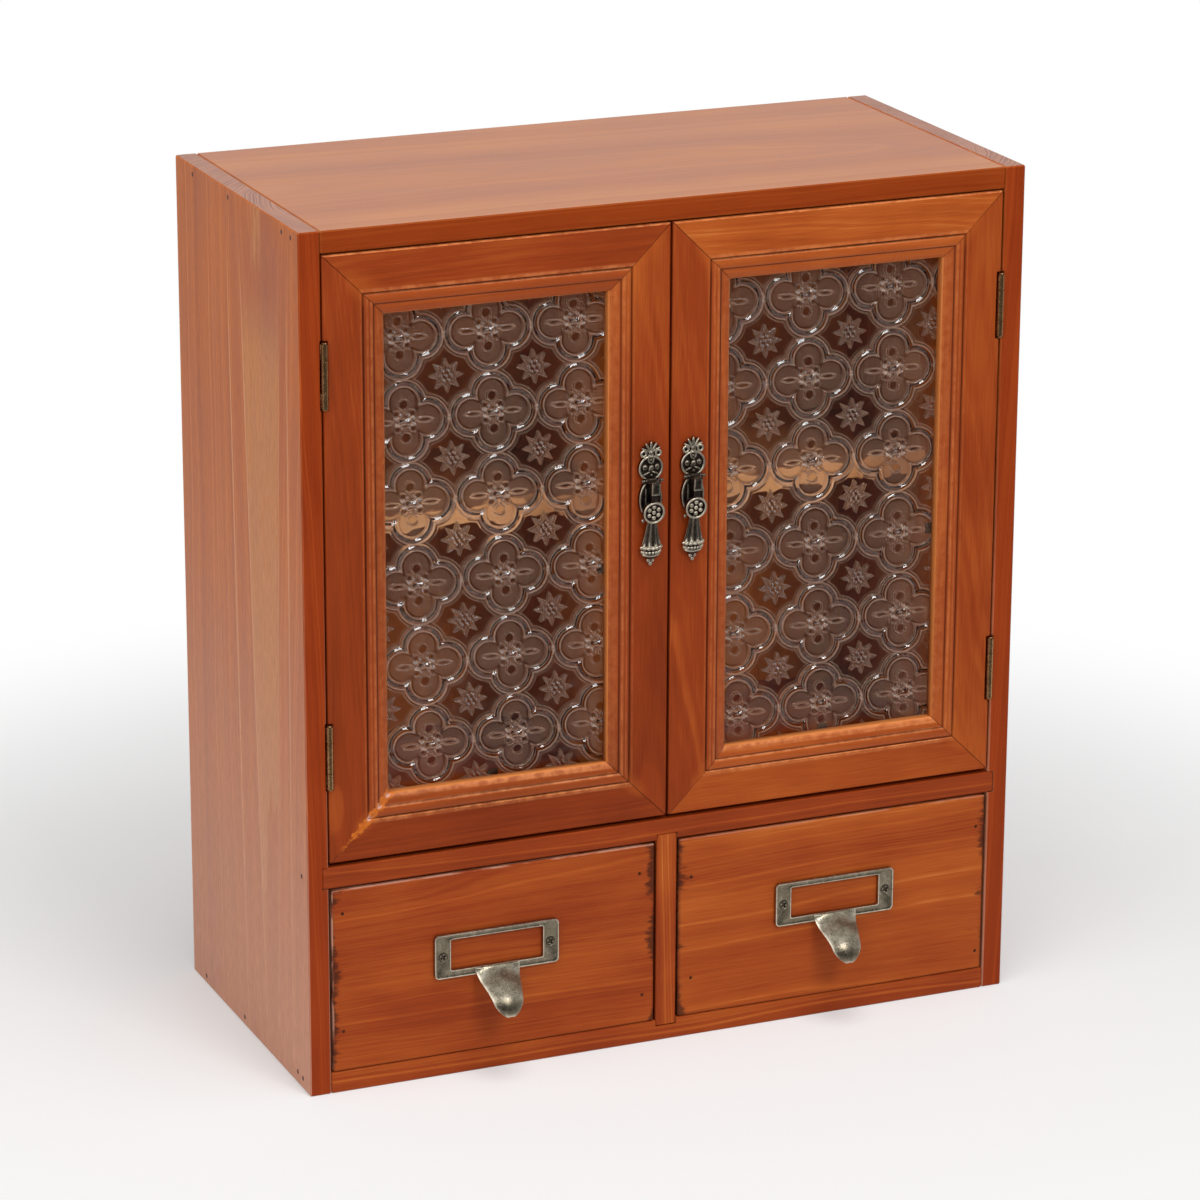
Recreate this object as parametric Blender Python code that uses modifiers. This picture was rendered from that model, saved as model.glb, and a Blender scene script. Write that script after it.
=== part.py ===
"""Countertop cabinet in stained pine, modelled at its real size in metres, +Z up.

Two glazed doors hang on butt hinges over two drawers. The origin is at the centre of the underside,
+X is to the right and the front faces -Y. Every board, piece of hardware and pane is an object of its own.
"""

import math

import bmesh
import bpy
from mathutils import Matrix, Vector

# Carcass
CABINET_WIDTH = 0.350
CABINET_DEPTH = 0.165
CABINET_HEIGHT = 0.400
SIDE_THICKNESS = 0.010
TOP_THICKNESS = 0.010
BOTTOM_THICKNESS = 0.010
BACK_THICKNESS = 0.003
BACK_REBATE = 0.005
DRAWER_SHELF_THICKNESS = 0.010
DRAWER_OPENING_HEIGHT = 0.089
DIVIDER_THICKNESS = 0.010
PARTITION_THICKNESS = 0.010
SHELF_THICKNESS = 0.010
SHELF_HEIGHT = 0.2365
SHELF_SETBACK = 0.075
HOUSING_DEPTH = 0.003
BOARD_EDGE_ROUND = 0.0006

# Gaps between pieces
JOINT_GAP = 0.0002
SEAT_GAP = 0.0003
HARDWARE_GAP = 0.0004

# Doors
DOOR_THICKNESS = 0.012
DOOR_SIDE_GAP = 0.0009
DOOR_MEETING_GAP = 0.0012
DOOR_TOP_GAP = 0.0010
DOOR_BOTTOM_GAP = 0.0020
DOOR_STOP_GAP = 0.0005
MEMBER_WIDTH = 0.0288
MOULDING_FROM_SIGHT = 0.0103
BEAD_WIDTH = 0.0050
GROOVE_DEPTH = 0.0009
SIGHT_EDGE_DROP = 0.0030
LIP_THICKNESS = 0.0040
GLASS_LAP = 0.0050
GLASS_THICKNESS = 0.0030

# Butt hinges
HINGE_LENGTH = 0.0290
HINGE_FROM_DOOR_TOP = 0.0387
HINGE_FROM_DOOR_BOTTOM = 0.0357
MIDDLE_KNUCKLE_SHARE = 0.5
BARREL_RADIUS = 0.0016
HINGE_BORE_RADIUS = 0.0010
HINGE_PIN_RADIUS = 0.0007
HINGE_PIN_HEAD = 0.0008
BARREL_PROUD = 0.0005
BARREL_INSET = 0.0012
LEAF_THICKNESS = 0.0006
LEAF_WIDTH = 0.0080
LEAF_SCREW_RADIUS = 0.0011
LEAF_SCREW_SPACING = 0.0180

# Drop pulls
PULL_DISK_HEIGHT = 0.278
PULL_FROM_MEETING_EDGE = 0.0097
PLATE_THICKNESS = 0.0015
PLATE_DISK_RADIUS = 0.0059
PLATE_OVAL_HALF_WIDTH = 0.0056
PLATE_OVAL_HALF_HEIGHT = 0.0090
PLATE_OVAL_DROP = 0.0145
PLATE_WAIST = 0.0030
CROWN_RISE = 0.0074
CROWN_LEAF_REACH = 0.0036
CROWN_LEAF_DEPTH = 0.0012
CURL_RADIUS = 0.0017
CURL_SPREAD = 0.0030
PIVOT_DROP = 0.0055
PULL_PIN_RADIUS = 0.0007
PULL_PIN_LENGTH = 0.0105
KNUCKLE_RADIUS = 0.0013
LUG_WIDTH = 0.0012
ARM_WIDTH = 0.0040
ARM_STOCK = 0.0012
TAB_REACH = 0.0050
TAB_LENGTH = 0.0066
STEM_WIDTH = 0.0030
MEDALLION_RADIUS = 0.0051
MEDALLION_DROP = 0.0139
MEDALLION_THICKNESS = 0.0024
BELL_TOP_DROP = 0.0180
BELL_TOP_RADIUS = 0.0023
BELL_BOTTOM_DROP = 0.0295
BELL_BOTTOM_RADIUS = 0.0044
RIM_RADIUS = 0.0050
RIM_BOTTOM_DROP = 0.0365
FINIAL_RADIUS = 0.0012
DROP_LENGTH = 0.0402
CASTING_AXIS = 0.0023
CASTING_BACK = 0.0016
CASTING_FLATNESS = 0.62
CROWN_LEAF_TURN = 28
CROWN_FAN_STEP = 7
PULL_SCREW_RADIUS = 0.0014
PULL_SCREW_HEAD_RADIUS = 0.0030
PULL_SCREW_HEAD = 0.0018
PULL_SCREW_BITE = 0.0010

# Drawers
DRAWER_FRONT_THICKNESS = 0.010
DRAWER_FRONT_SIDE_GAP = 0.0012
DRAWER_FRONT_TOP_GAP = 0.0012
DRAWER_RUNNING_GAP = 0.0003
DRAWER_STOP_GAP = 0.0005
DRAWER_SIDE_THICKNESS = 0.008
DRAWER_SIDE_SETDOWN = 0.0040
DRAWER_BACK_THICKNESS = 0.008
DRAWER_BOTTOM_THICKNESS = 0.003
DRAWER_BOTTOM_RISE = 0.004
DRAWER_GROOVE_DEPTH = 0.003

# Label-holder pulls
LABEL_WIDTH = 0.0605
LABEL_HEIGHT = 0.0210
LABEL_THICKNESS = 0.0020
LABEL_CORNER = 0.0020
LABEL_CENTRE_HEIGHT = 0.0588
WINDOW_WIDTH = 0.0452
WINDOW_HEIGHT = 0.0151
WINDOW_RISE = 0.0005
WINDOW_CORNER = 0.0008
LABEL_SCREW_SPACING = 0.0525
LABEL_SCREW_RADIUS = 0.0011
LABEL_SCREW_HEAD_RADIUS = 0.0022
LABEL_SCREW_LENGTH = 0.0085
TONGUE_WIDTH = 0.0182
TONGUE_REACH = 0.0175
TONGUE_DROP = 0.0172
TONGUE_STOCK = 0.0016
TONGUE_CAMBER = 0.0026
TONGUE_SWEEP = 85
TONGUE_TIP_WIDTH = 0.0036
TONGUE_ROUNDNESS = 2.3
TONGUE_FLARE = 0.3

# Magnet catches
CATCH_WIDTH = 0.018
CATCH_DEPTH = 0.012
CATCH_HEIGHT = 0.009
CATCH_FROM_PARTITION = 0.003
STRIKE_THICKNESS = 0.0008
STRIKE_WIDTH = 0.014
STRIKE_HEIGHT = 0.007

ROUND_SIDES = 20
TURNED_SIDES = 16
ARC_STEPS = 6

# Places that follow from the sizes above
FRONT = -CABINET_DEPTH / 2
BACK = CABINET_DEPTH / 2
HALF_WIDTH = CABINET_WIDTH / 2
INSIDE_X = HALF_WIDTH - SIDE_THICKNESS
TOP_UNDERSIDE = CABINET_HEIGHT - TOP_THICKNESS
BACK_FACE = BACK - BACK_THICKNESS
DRAWER_SHELF_UNDERSIDE = BOTTOM_THICKNESS + DRAWER_OPENING_HEIGHT
DRAWER_SHELF_TOP = DRAWER_SHELF_UNDERSIDE + DRAWER_SHELF_THICKNESS
DOOR_LOW = DRAWER_SHELF_TOP + DOOR_BOTTOM_GAP
DOOR_HIGH = TOP_UNDERSIDE - DOOR_TOP_GAP
DOOR_OUTER_X = INSIDE_X - DOOR_SIDE_GAP
DOOR_INNER_X = DOOR_MEETING_GAP / 2
DOOR_BACK = FRONT + DOOR_THICKNESS
HINGE_X = INSIDE_X - BARREL_INSET
HINGE_Y = FRONT - BARREL_PROUD
HINGE_HEIGHTS = {
    "upper": DOOR_HIGH - HINGE_FROM_DOOR_TOP - HINGE_LENGTH / 2,
    "lower": DOOR_LOW + HINGE_FROM_DOOR_BOTTOM + HINGE_LENGTH / 2,
}
PULL_X = DOOR_INNER_X + PULL_FROM_MEETING_EDGE
PIVOT_Z = PULL_DISK_HEIGHT - PIVOT_DROP
PIVOT_OFF = SEAT_GAP + PLATE_THICKNESS + SEAT_GAP + KNUCKLE_RADIUS
PIVOT_Y = FRONT - PIVOT_OFF
DRAWER_OUTER_X = INSIDE_X - DRAWER_FRONT_SIDE_GAP
DRAWER_INNER_X = DIVIDER_THICKNESS / 2 + DRAWER_FRONT_SIDE_GAP
DRAWER_CENTRE_X = (DRAWER_OUTER_X + DRAWER_INNER_X) / 2
DRAWER_LOW = BOTTOM_THICKNESS + DRAWER_RUNNING_GAP
DRAWER_FRONT_HIGH = DRAWER_SHELF_UNDERSIDE - DRAWER_FRONT_TOP_GAP
DRAWER_SIDE_HIGH = DRAWER_FRONT_HIGH - DRAWER_SIDE_SETDOWN
DRAWER_REAR = BACK_FACE - DRAWER_STOP_GAP
SIDES = {"left": -1, "right": 1}

PINE = ("stained pine", (0.33, 0.075, 0.018), 0.45, 0.0)
PALE_PINE = ("pale shelf pine", (0.60, 0.30, 0.13), 0.55, 0.0)
PLYWOOD = ("stained plywood", (0.20, 0.055, 0.020), 0.60, 0.0)
DRAWER_WOOD = ("drawer box wood", (0.42, 0.17, 0.06), 0.60, 0.0)
EMBOSSED_GLASS = ("embossed glass", (0.55, 0.52, 0.48), 0.15, 0.0)
ANTIQUE_BRONZE = ("antique bronze", (0.11, 0.09, 0.05), 0.35, 1.0)
PEWTER = ("antique pewter", (0.16, 0.14, 0.10), 0.35, 1.0)
HINGE_BRONZE = ("hinge bronze", (0.22, 0.10, 0.03), 0.40, 1.0)
STEEL = ("zinc plated steel", (0.45, 0.45, 0.46), 0.35, 1.0)
CATCH_PLASTIC = ("brown catch plastic", (0.05, 0.02, 0.01), 0.50, 0.0)

parts = None
helpers = None
places = {}


def material(finish):
    """The Principled material of a finish, made once and shared."""
    name, colour, roughness, metallic = finish
    found = bpy.data.materials.get(name)
    if found:
        return found
    made = bpy.data.materials.new(name)
    made.use_nodes = True
    shader = made.node_tree.nodes["Principled BSDF"]
    shader.inputs["Base Color"].default_value = (*colour, 1.0)
    shader.inputs["Roughness"].default_value = roughness
    shader.inputs["Metallic"].default_value = metallic
    return made


def body(name, place, parent=None):
    """An empty on a joint's axis, which carries the pieces of one moving body."""
    empty = bpy.data.objects.new(name, None)
    empty.empty_display_size = 0.02
    parts.objects.link(empty)
    places[empty.name] = Vector(place)
    if parent:
        empty.parent = parent
        place = Vector(place) - places[parent.name]
    empty.location = place
    return empty


def piece(name, mesh, place, carrier, finish):
    """A sub-part: its mesh is drawn round place, and it hangs on the body that carries it."""
    obj = bpy.data.objects.new(name, mesh)
    parts.objects.link(obj)
    obj.parent = carrier
    obj.location = Vector(place) - places[carrier.name]
    places[name] = Vector(place)
    mesh.materials.append(material(finish))
    return obj


def helper(target, mesh, offset, turn=(0, 0, 0)):
    """A hidden shape that cuts or joins target, drawn in target's own coordinates."""
    obj = bpy.data.objects.new(f"{target.name}_tool", mesh)
    helpers.objects.link(obj)
    obj.parent = target
    obj.location = offset
    obj.rotation_euler = turn
    obj.hide_render = True
    obj.display_type = "WIRE"
    return obj


def boolean(target, tool, operation):
    step = target.modifiers.new(operation.lower(), "BOOLEAN")
    step.operation = operation
    step.solver = "EXACT"
    step.object = tool


def cut(target, mesh, offset, turn=(0, 0, 0)):
    boolean(target, helper(target, mesh, offset, turn), "DIFFERENCE")


def join(target, mesh, offset, turn=(0, 0, 0)):
    boolean(target, helper(target, mesh, offset, turn), "UNION")


def block(size):
    """A box mesh of the given size, centred."""
    mesh = bpy.data.meshes.new("block")
    shape = bmesh.new()
    bmesh.ops.create_cube(shape, size=1.0)
    bmesh.ops.scale(shape, vec=size, verts=shape.verts)
    shape.to_mesh(mesh)
    shape.free()
    return mesh


def rod(radius, length, along="Z", sides=ROUND_SIDES):
    """A cylinder mesh along one axis, centred."""
    mesh = bpy.data.meshes.new("rod")
    shape = bmesh.new()
    bmesh.ops.create_cone(
        shape, cap_ends=True, segments=sides, radius1=radius, radius2=radius, depth=length
    )
    turn = {
        "X": Matrix.Rotation(math.pi / 2, 3, "Y"),
        "Y": Matrix.Rotation(math.pi / 2, 3, "X"),
        "Z": Matrix.Identity(3),
    }[along]
    bmesh.ops.rotate(shape, cent=(0, 0, 0), matrix=turn, verts=shape.verts)
    shape.to_mesh(mesh)
    shape.free()
    return mesh


def slab(outline, near, far):
    """A flat outline of (x, z) points made solid from depth near to depth far along Y."""
    mesh = bpy.data.meshes.new("slab")
    shape = bmesh.new()
    face = shape.faces.new([shape.verts.new((x, near, z)) for x, z in outline])
    grown = bmesh.ops.extrude_face_region(shape, geom=[face])["geom"]
    moved = [item for item in grown if isinstance(item, bmesh.types.BMVert)]
    bmesh.ops.translate(shape, vec=(0, far - near, 0), verts=moved)
    bmesh.ops.recalc_face_normals(shape, faces=shape.faces)
    shape.to_mesh(mesh)
    shape.free()
    return mesh


def arc(centre, radii, start, end, steps=ARC_STEPS):
    """Points on an ellipse, from angle start to angle end in degrees."""
    points = []
    for step in range(steps + 1):
        angle = math.radians(start + (end - start) * step / steps)
        points.append(
            (centre[0] + radii[0] * math.cos(angle), centre[1] + radii[1] * math.sin(angle))
        )
    return points


def turned(name, profile, place, carrier, finish, turn=(0, 0, 0)):
    """A turned piece: its profile of (radius, height) points runs down the outer side."""
    mesh = bpy.data.meshes.new(name)
    shape = bmesh.new()
    points = [shape.verts.new((radius, 0, height)) for radius, height in profile]
    for upper, lower in zip(points, points[1:]):
        shape.edges.new((upper, lower))
    shape.to_mesh(mesh)
    shape.free()
    obj = piece(name, mesh, place, carrier, finish)
    obj.rotation_euler = turn
    screw = obj.modifiers.new("turn", "SCREW")
    screw.steps = screw.render_steps = TURNED_SIDES
    screw.use_merge_vertices = True
    screw.merge_threshold = 0.00001
    return obj


def span(low, high):
    """The size and the centre of the box between two corners."""
    low, high = Vector(low), Vector(high)
    return high - low, (low + high) / 2


def mirrored(side, x_near, x_far):
    """The lowest and highest x of a span given as distances from the middle on one side."""
    return sorted((side * x_near, side * x_far))


def board(name, low, high, carrier, finish, edge=BOARD_EDGE_ROUND):
    """A plain board between two corners, with its edges eased."""
    size, centre = span(low, high)
    obj = piece(name, block(size), centre, carrier, finish)
    ease = obj.modifiers.new("eased edges", "BEVEL")
    ease.width = edge
    ease.segments = 1
    return obj


def cut_box(target, low, high):
    size, centre = span(low, high)
    cut(target, block(size), centre - places[target.name])


def carcass_boards(root):
    """The ten boards of the case."""
    inner_end = INSIDE_X - JOINT_GAP
    housed_end = INSIDE_X + HOUSING_DEPTH - JOINT_GAP
    rear = BACK_FACE - JOINT_GAP
    rebated_x = INSIDE_X + BACK_REBATE
    rebate_low = BOTTOM_THICKNESS - BACK_REBATE
    rebate_high = TOP_UNDERSIDE + BACK_REBATE
    partition_front = DOOR_BACK + DOOR_STOP_GAP
    half_divider = DIVIDER_THICKNESS / 2
    half_partition = PARTITION_THICKNESS / 2
    shelf_front = FRONT + SHELF_SETBACK
    shelf_top = SHELF_HEIGHT + SHELF_THICKNESS

    top = board(
        "top_panel",
        (-inner_end, FRONT, TOP_UNDERSIDE), (inner_end, BACK, CABINET_HEIGHT), root, PINE,
    )
    bottom = board(
        "bottom_panel",
        (-inner_end, FRONT, 0), (inner_end, BACK, BOTTOM_THICKNESS), root, PINE,
    )
    rail = board(
        "drawer_shelf",
        (-housed_end, FRONT, DRAWER_SHELF_UNDERSIDE), (housed_end, rear, DRAWER_SHELF_TOP),
        root, PINE,
    )
    board(
        "drawer_divider",
        (-half_divider, FRONT, BOTTOM_THICKNESS - HOUSING_DEPTH + JOINT_GAP),
        (half_divider, rear, DRAWER_SHELF_UNDERSIDE + HOUSING_DEPTH - JOINT_GAP),
        root, PINE,
    )
    partition = board(
        "centre_partition",
        (-half_partition, partition_front, DRAWER_SHELF_TOP - HOUSING_DEPTH + JOINT_GAP),
        (half_partition, rear, TOP_UNDERSIDE + HOUSING_DEPTH - JOINT_GAP),
        root, PINE,
    )
    board(
        "back_panel",
        (-rebated_x + JOINT_GAP, BACK_FACE, rebate_low + JOINT_GAP),
        (rebated_x - JOINT_GAP, BACK, rebate_high - JOINT_GAP),
        root, PLYWOOD, edge=BOARD_EDGE_ROUND / 3,
    )

    # Housings for the divider and the partition, and the rebate for the back
    for target, low, high, half in (
        (bottom, BOTTOM_THICKNESS - HOUSING_DEPTH, BOTTOM_THICKNESS + HOUSING_DEPTH, half_divider),
        (rail, DRAWER_SHELF_UNDERSIDE - HOUSING_DEPTH, DRAWER_SHELF_UNDERSIDE + HOUSING_DEPTH,
         half_divider),
        (rail, DRAWER_SHELF_TOP - HOUSING_DEPTH, DRAWER_SHELF_TOP + HOUSING_DEPTH, half_partition),
        (top, TOP_UNDERSIDE - HOUSING_DEPTH, TOP_UNDERSIDE + HOUSING_DEPTH, half_partition),
    ):
        start = partition_front - JOINT_GAP if high > DRAWER_SHELF_TOP else FRONT - HOUSING_DEPTH
        cut_box(
            target,
            (-half - JOINT_GAP, start, low), (half + JOINT_GAP, BACK + BACK_THICKNESS, high),
        )
    for target in (top, bottom):
        cut_box(
            target,
            (-CABINET_WIDTH, BACK_FACE - JOINT_GAP, rebate_low),
            (CABINET_WIDTH, BACK + BACK_THICKNESS, rebate_high),
        )

    for name, side in SIDES.items():
        low_x, high_x = mirrored(side, INSIDE_X, HALF_WIDTH)
        panel = board(
            f"{name}_side_panel",
            (low_x, FRONT, 0), (high_x, BACK, CABINET_HEIGHT), root, PINE,
        )
        low_x, high_x = mirrored(side, 0, rebated_x)
        cut_box(
            panel,
            (low_x, BACK_FACE - JOINT_GAP, rebate_low),
            (high_x, BACK + BACK_THICKNESS, rebate_high),
        )
        low_x, high_x = mirrored(side, 0, INSIDE_X + HOUSING_DEPTH)
        cut_box(
            panel,
            (low_x, FRONT - HOUSING_DEPTH, DRAWER_SHELF_UNDERSIDE - JOINT_GAP),
            (high_x, BACK_FACE, DRAWER_SHELF_TOP + JOINT_GAP),
        )
        for target in (panel, partition):
            from_x = 0 if target is panel else half_partition - HOUSING_DEPTH
            low_x, high_x = mirrored(side, from_x, INSIDE_X + HOUSING_DEPTH)
            cut_box(
                target,
                (low_x, shelf_front - JOINT_GAP, SHELF_HEIGHT - JOINT_GAP),
                (high_x, BACK + BACK_THICKNESS, shelf_top + JOINT_GAP),
            )
        hinge_mortises(panel, side, DOOR_OUTER_X, 1)
        low_x, high_x = mirrored(
            side, half_partition - HOUSING_DEPTH + JOINT_GAP, housed_end
        )
        board(
            f"{name}_shelf",
            (low_x, shelf_front, SHELF_HEIGHT), (high_x, rear, shelf_top), root, PALE_PINE,
        )


def hinge_mortises(target, side, open_x, into):
    """Cuts the seats of both hinges, a barrel notch and a leaf pocket, in a side or a stile.

    open_x is a place in the gap between the two, and into is 1 towards the side and -1 towards
    the door.
    """
    gap = HARDWARE_GAP
    length = HINGE_LENGTH / 2 + HINGE_PIN_HEAD + gap
    barrel_x = HINGE_X + into * (BARREL_RADIUS + gap)
    wood_x = INSIDE_X if into > 0 else DOOR_OUTER_X
    leaf_x = wood_x + into * (LEAF_THICKNESS + JOINT_GAP)
    for height in HINGE_HEIGHTS.values():
        low_x, high_x = mirrored(side, open_x, barrel_x)
        cut_box(
            target,
            (low_x, HINGE_Y - BARREL_RADIUS - gap, height - length),
            (high_x, HINGE_Y + BARREL_RADIUS + gap, height + length),
        )
        low_x, high_x = mirrored(side, open_x, leaf_x)
        half = HINGE_LENGTH / 2 + JOINT_GAP
        cut_box(
            target,
            (low_x, HINGE_Y, height - half), (high_x, HINGE_Y + LEAF_WIDTH + gap, height + half),
        )


def leaf(name, carrier, side, height, edge_x, knuckles, clear_zones):
    """One hinge leaf: a plate in its mortise, with its knuckles round the pin.

    edge_x is the wood's face that the plate is let into, and knuckles and clear_zones are
    spans of height, measured from the hinge's middle, where the plate reaches its own knuckles
    and where it stays back from the other leaf's.
    """
    into = LEAF_THICKNESS if edge_x > HINGE_X else -LEAF_THICKNESS
    low_x, high_x = mirrored(side, edge_x, edge_x + into)
    size, centre = span(
        (low_x, HINGE_Y, height - HINGE_LENGTH / 2),
        (high_x, HINGE_Y + LEAF_WIDTH, height + HINGE_LENGTH / 2),
    )
    obj = piece(name, block(size), centre, carrier, HINGE_BRONZE)
    axis = Vector((side * HINGE_X, HINGE_Y, height))
    for low, high in clear_zones:
        clear = BARREL_RADIUS + HARDWARE_GAP
        tool_size, middle = span(
            (-LEAF_WIDTH, -clear, low), (LEAF_WIDTH, clear, high)
        )
        cut(obj, block(tool_size), axis + middle - centre)
    for low, high in knuckles:
        middle = axis + Vector((0, 0, (low + high) / 2)) - centre
        join(obj, rod(BARREL_RADIUS, high - low), middle)
    cut(obj, rod(HINGE_BORE_RADIUS, HINGE_LENGTH * 2), axis - centre)
    screw_y = HINGE_Y + BARREL_RADIUS + (LEAF_WIDTH - BARREL_RADIUS) / 2
    for offset in (-LEAF_SCREW_SPACING / 2, LEAF_SCREW_SPACING / 2):
        hole = Vector((centre.x, screw_y, height + offset)) - centre
        cut(obj, rod(LEAF_SCREW_RADIUS, LEAF_THICKNESS * 4, "X", TURNED_SIDES), hole)
    return obj


def hinge(name, side, height, root, door):
    """A butt hinge: the frame leaf holds the outer knuckles and the pin, the door leaf the middle."""
    end = HINGE_LENGTH / 2
    split = end * MIDDLE_KNUCKLE_SHARE
    gap = JOINT_GAP
    leaf(
        f"{name}_frame_leaf", root, side, height, INSIDE_X,
        [(-end, -split), (split, end)],
        [(-split - gap, split + gap)],
    )
    leaf(
        f"{name}_door_leaf", door, side, height, DOOR_OUTER_X,
        [(-split + gap, split - gap)],
        [(-end - gap, -split + gap), (split - gap, end + gap)],
    )
    head = HINGE_PIN_HEAD - gap
    reach = end + gap
    turned(
        f"{name}_pin",
        [
            (0, reach + head),
            (HINGE_BORE_RADIUS, reach + head),
            (BARREL_RADIUS - gap, reach + head / 2),
            (BARREL_RADIUS - gap, reach),
            (HINGE_PIN_RADIUS, reach),
            (HINGE_PIN_RADIUS, -reach),
            (BARREL_RADIUS - gap, -reach),
            (BARREL_RADIUS - gap, -reach - head / 2),
            (HINGE_BORE_RADIUS, -reach - head),
            (0, -reach - head),
        ],
        (side * HINGE_X, HINGE_Y, height), root, HINGE_BRONZE,
    )


def member_profile():
    """Section of a door member: across from its outer edge, and in from the front face."""
    edge = BOARD_EDGE_ROUND
    mould = MEMBER_WIDTH - MOULDING_FROM_SIGHT
    split = mould + BEAD_WIDTH
    sight_back = SIGHT_EDGE_DROP + LIP_THICKNESS
    rebate = MEMBER_WIDTH - GLASS_LAP
    outer_bead = arc(
        ((mould + split) / 2, GROOVE_DEPTH), (BEAD_WIDTH / 2, -GROOVE_DEPTH * 0.8), 180, 0
    )
    inner_bead = arc(
        (split, SIGHT_EDGE_DROP), (MEMBER_WIDTH - split, GROOVE_DEPTH - SIGHT_EDGE_DROP), 80, 0
    )
    return [
        (0, edge),
        (edge, 0),
        (mould - edge, 0),
        *outer_bead,
        *inner_bead,
        (MEMBER_WIDTH, sight_back),
        (rebate, sight_back),
        (rebate, DOOR_THICKNESS),
        (0, DOOR_THICKNESS),
    ]


def member(name, corner, across, along, length, carrier):
    """A mitred door member: the section, extruded along its length and sheared at both ends."""
    mesh = bpy.data.meshes.new(name)
    shape = bmesh.new()
    across, along, depth = Vector(across), Vector(along), Vector((0, 1, 0))
    setback = JOINT_GAP / 2 * math.sqrt(2)
    corners = {}
    start = []
    for offset, into in member_profile():
        vertex = shape.verts.new(across * offset + depth * into)
        corners[vertex] = offset
        start.append(vertex)
    face = shape.faces.new(start)
    grown = bmesh.ops.extrude_face_region(shape, geom=[face])["geom"]
    far = [item for item in grown if isinstance(item, bmesh.types.BMVert)]
    bmesh.ops.translate(shape, vec=along * length, verts=far)
    for vertex in far:
        vertex.co -= along * (vertex.co.dot(across) + setback)
    for vertex, offset in corners.items():
        vertex.co += along * (offset + setback)
    bmesh.ops.recalc_face_normals(shape, faces=shape.faces)
    shape.to_mesh(mesh)
    shape.free()
    return piece(name, mesh, corner, carrier, PINE)


def door(name, side, carrier):
    """Four mitred members round an embossed pane."""
    width = DOOR_OUTER_X - DOOR_INNER_X
    height = DOOR_HIGH - DOOR_LOW
    outer, inner = side * DOOR_OUTER_X, side * DOOR_INNER_X
    inward, outward = (-side, 0, 0), (side, 0, 0)
    up, down = (0, 0, 1), (0, 0, -1)
    hinge_stile = member(
        f"{name}_door_hinge_stile", (outer, FRONT, DOOR_LOW), inward, up, height, carrier
    )
    meeting = member(
        f"{name}_door_meeting_stile", (inner, FRONT, DOOR_LOW), outward, up, height, carrier
    )
    member(f"{name}_door_top_rail", (inner, FRONT, DOOR_HIGH), down, outward, width, carrier)
    member(f"{name}_door_bottom_rail", (inner, FRONT, DOOR_LOW), up, outward, width, carrier)
    hinge_mortises(hinge_stile, side, INSIDE_X, -1)
    screw_length = DOOR_THICKNESS * 2
    cut(
        meeting, rod(PULL_SCREW_RADIUS + SEAT_GAP, screw_length, "Y", TURNED_SIDES),
        Vector((side * PULL_X, FRONT + DOOR_THICKNESS / 2, PULL_DISK_HEIGHT))
        - places[meeting.name],
    )

    seat = MEMBER_WIDTH - GLASS_LAP + SEAT_GAP
    low_x, high_x = mirrored(side, DOOR_INNER_X + seat, DOOR_OUTER_X - seat)
    glass_front = FRONT + SIGHT_EDGE_DROP + LIP_THICKNESS + SEAT_GAP
    size, centre = span(
        (low_x, glass_front, DOOR_LOW + seat),
        (high_x, glass_front + GLASS_THICKNESS, DOOR_HIGH - seat),
    )
    piece(f"{name}_door_glass", block(size), centre, carrier, EMBOSSED_GLASS)


def plate_outline():
    """Outline of a drop pull's back plate round its disk: crown, curls, disk, waist and oval."""
    fan = []
    for angle in range(90, 10, -CROWN_FAN_STEP):
        swing = math.cos(2 * math.pi * (90 - angle) / CROWN_LEAF_TURN)
        reach = CROWN_LEAF_REACH + CROWN_LEAF_DEPTH * swing
        turn = math.radians(angle)
        fan.append((reach * math.cos(turn), CROWN_RISE + reach * math.sin(turn)))
    curl = arc((CURL_SPREAD, CROWN_RISE - CURL_RADIUS / 2), (CURL_RADIUS, CURL_RADIUS), 20, -70, 4)
    disk = arc((0, 0), (PLATE_DISK_RADIUS, PLATE_DISK_RADIUS), 58, -58, 8)
    waist = [(PLATE_WAIST, -PLATE_DISK_RADIUS * 0.96)]
    oval = arc(
        (0, -PLATE_OVAL_DROP), (PLATE_OVAL_HALF_WIDTH, PLATE_OVAL_HALF_HEIGHT), 62, -90, 9
    )
    right = fan + curl + disk + waist + oval
    left = [(-x, z) for x, z in reversed(right) if x > JOINT_GAP]
    return right + left


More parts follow.
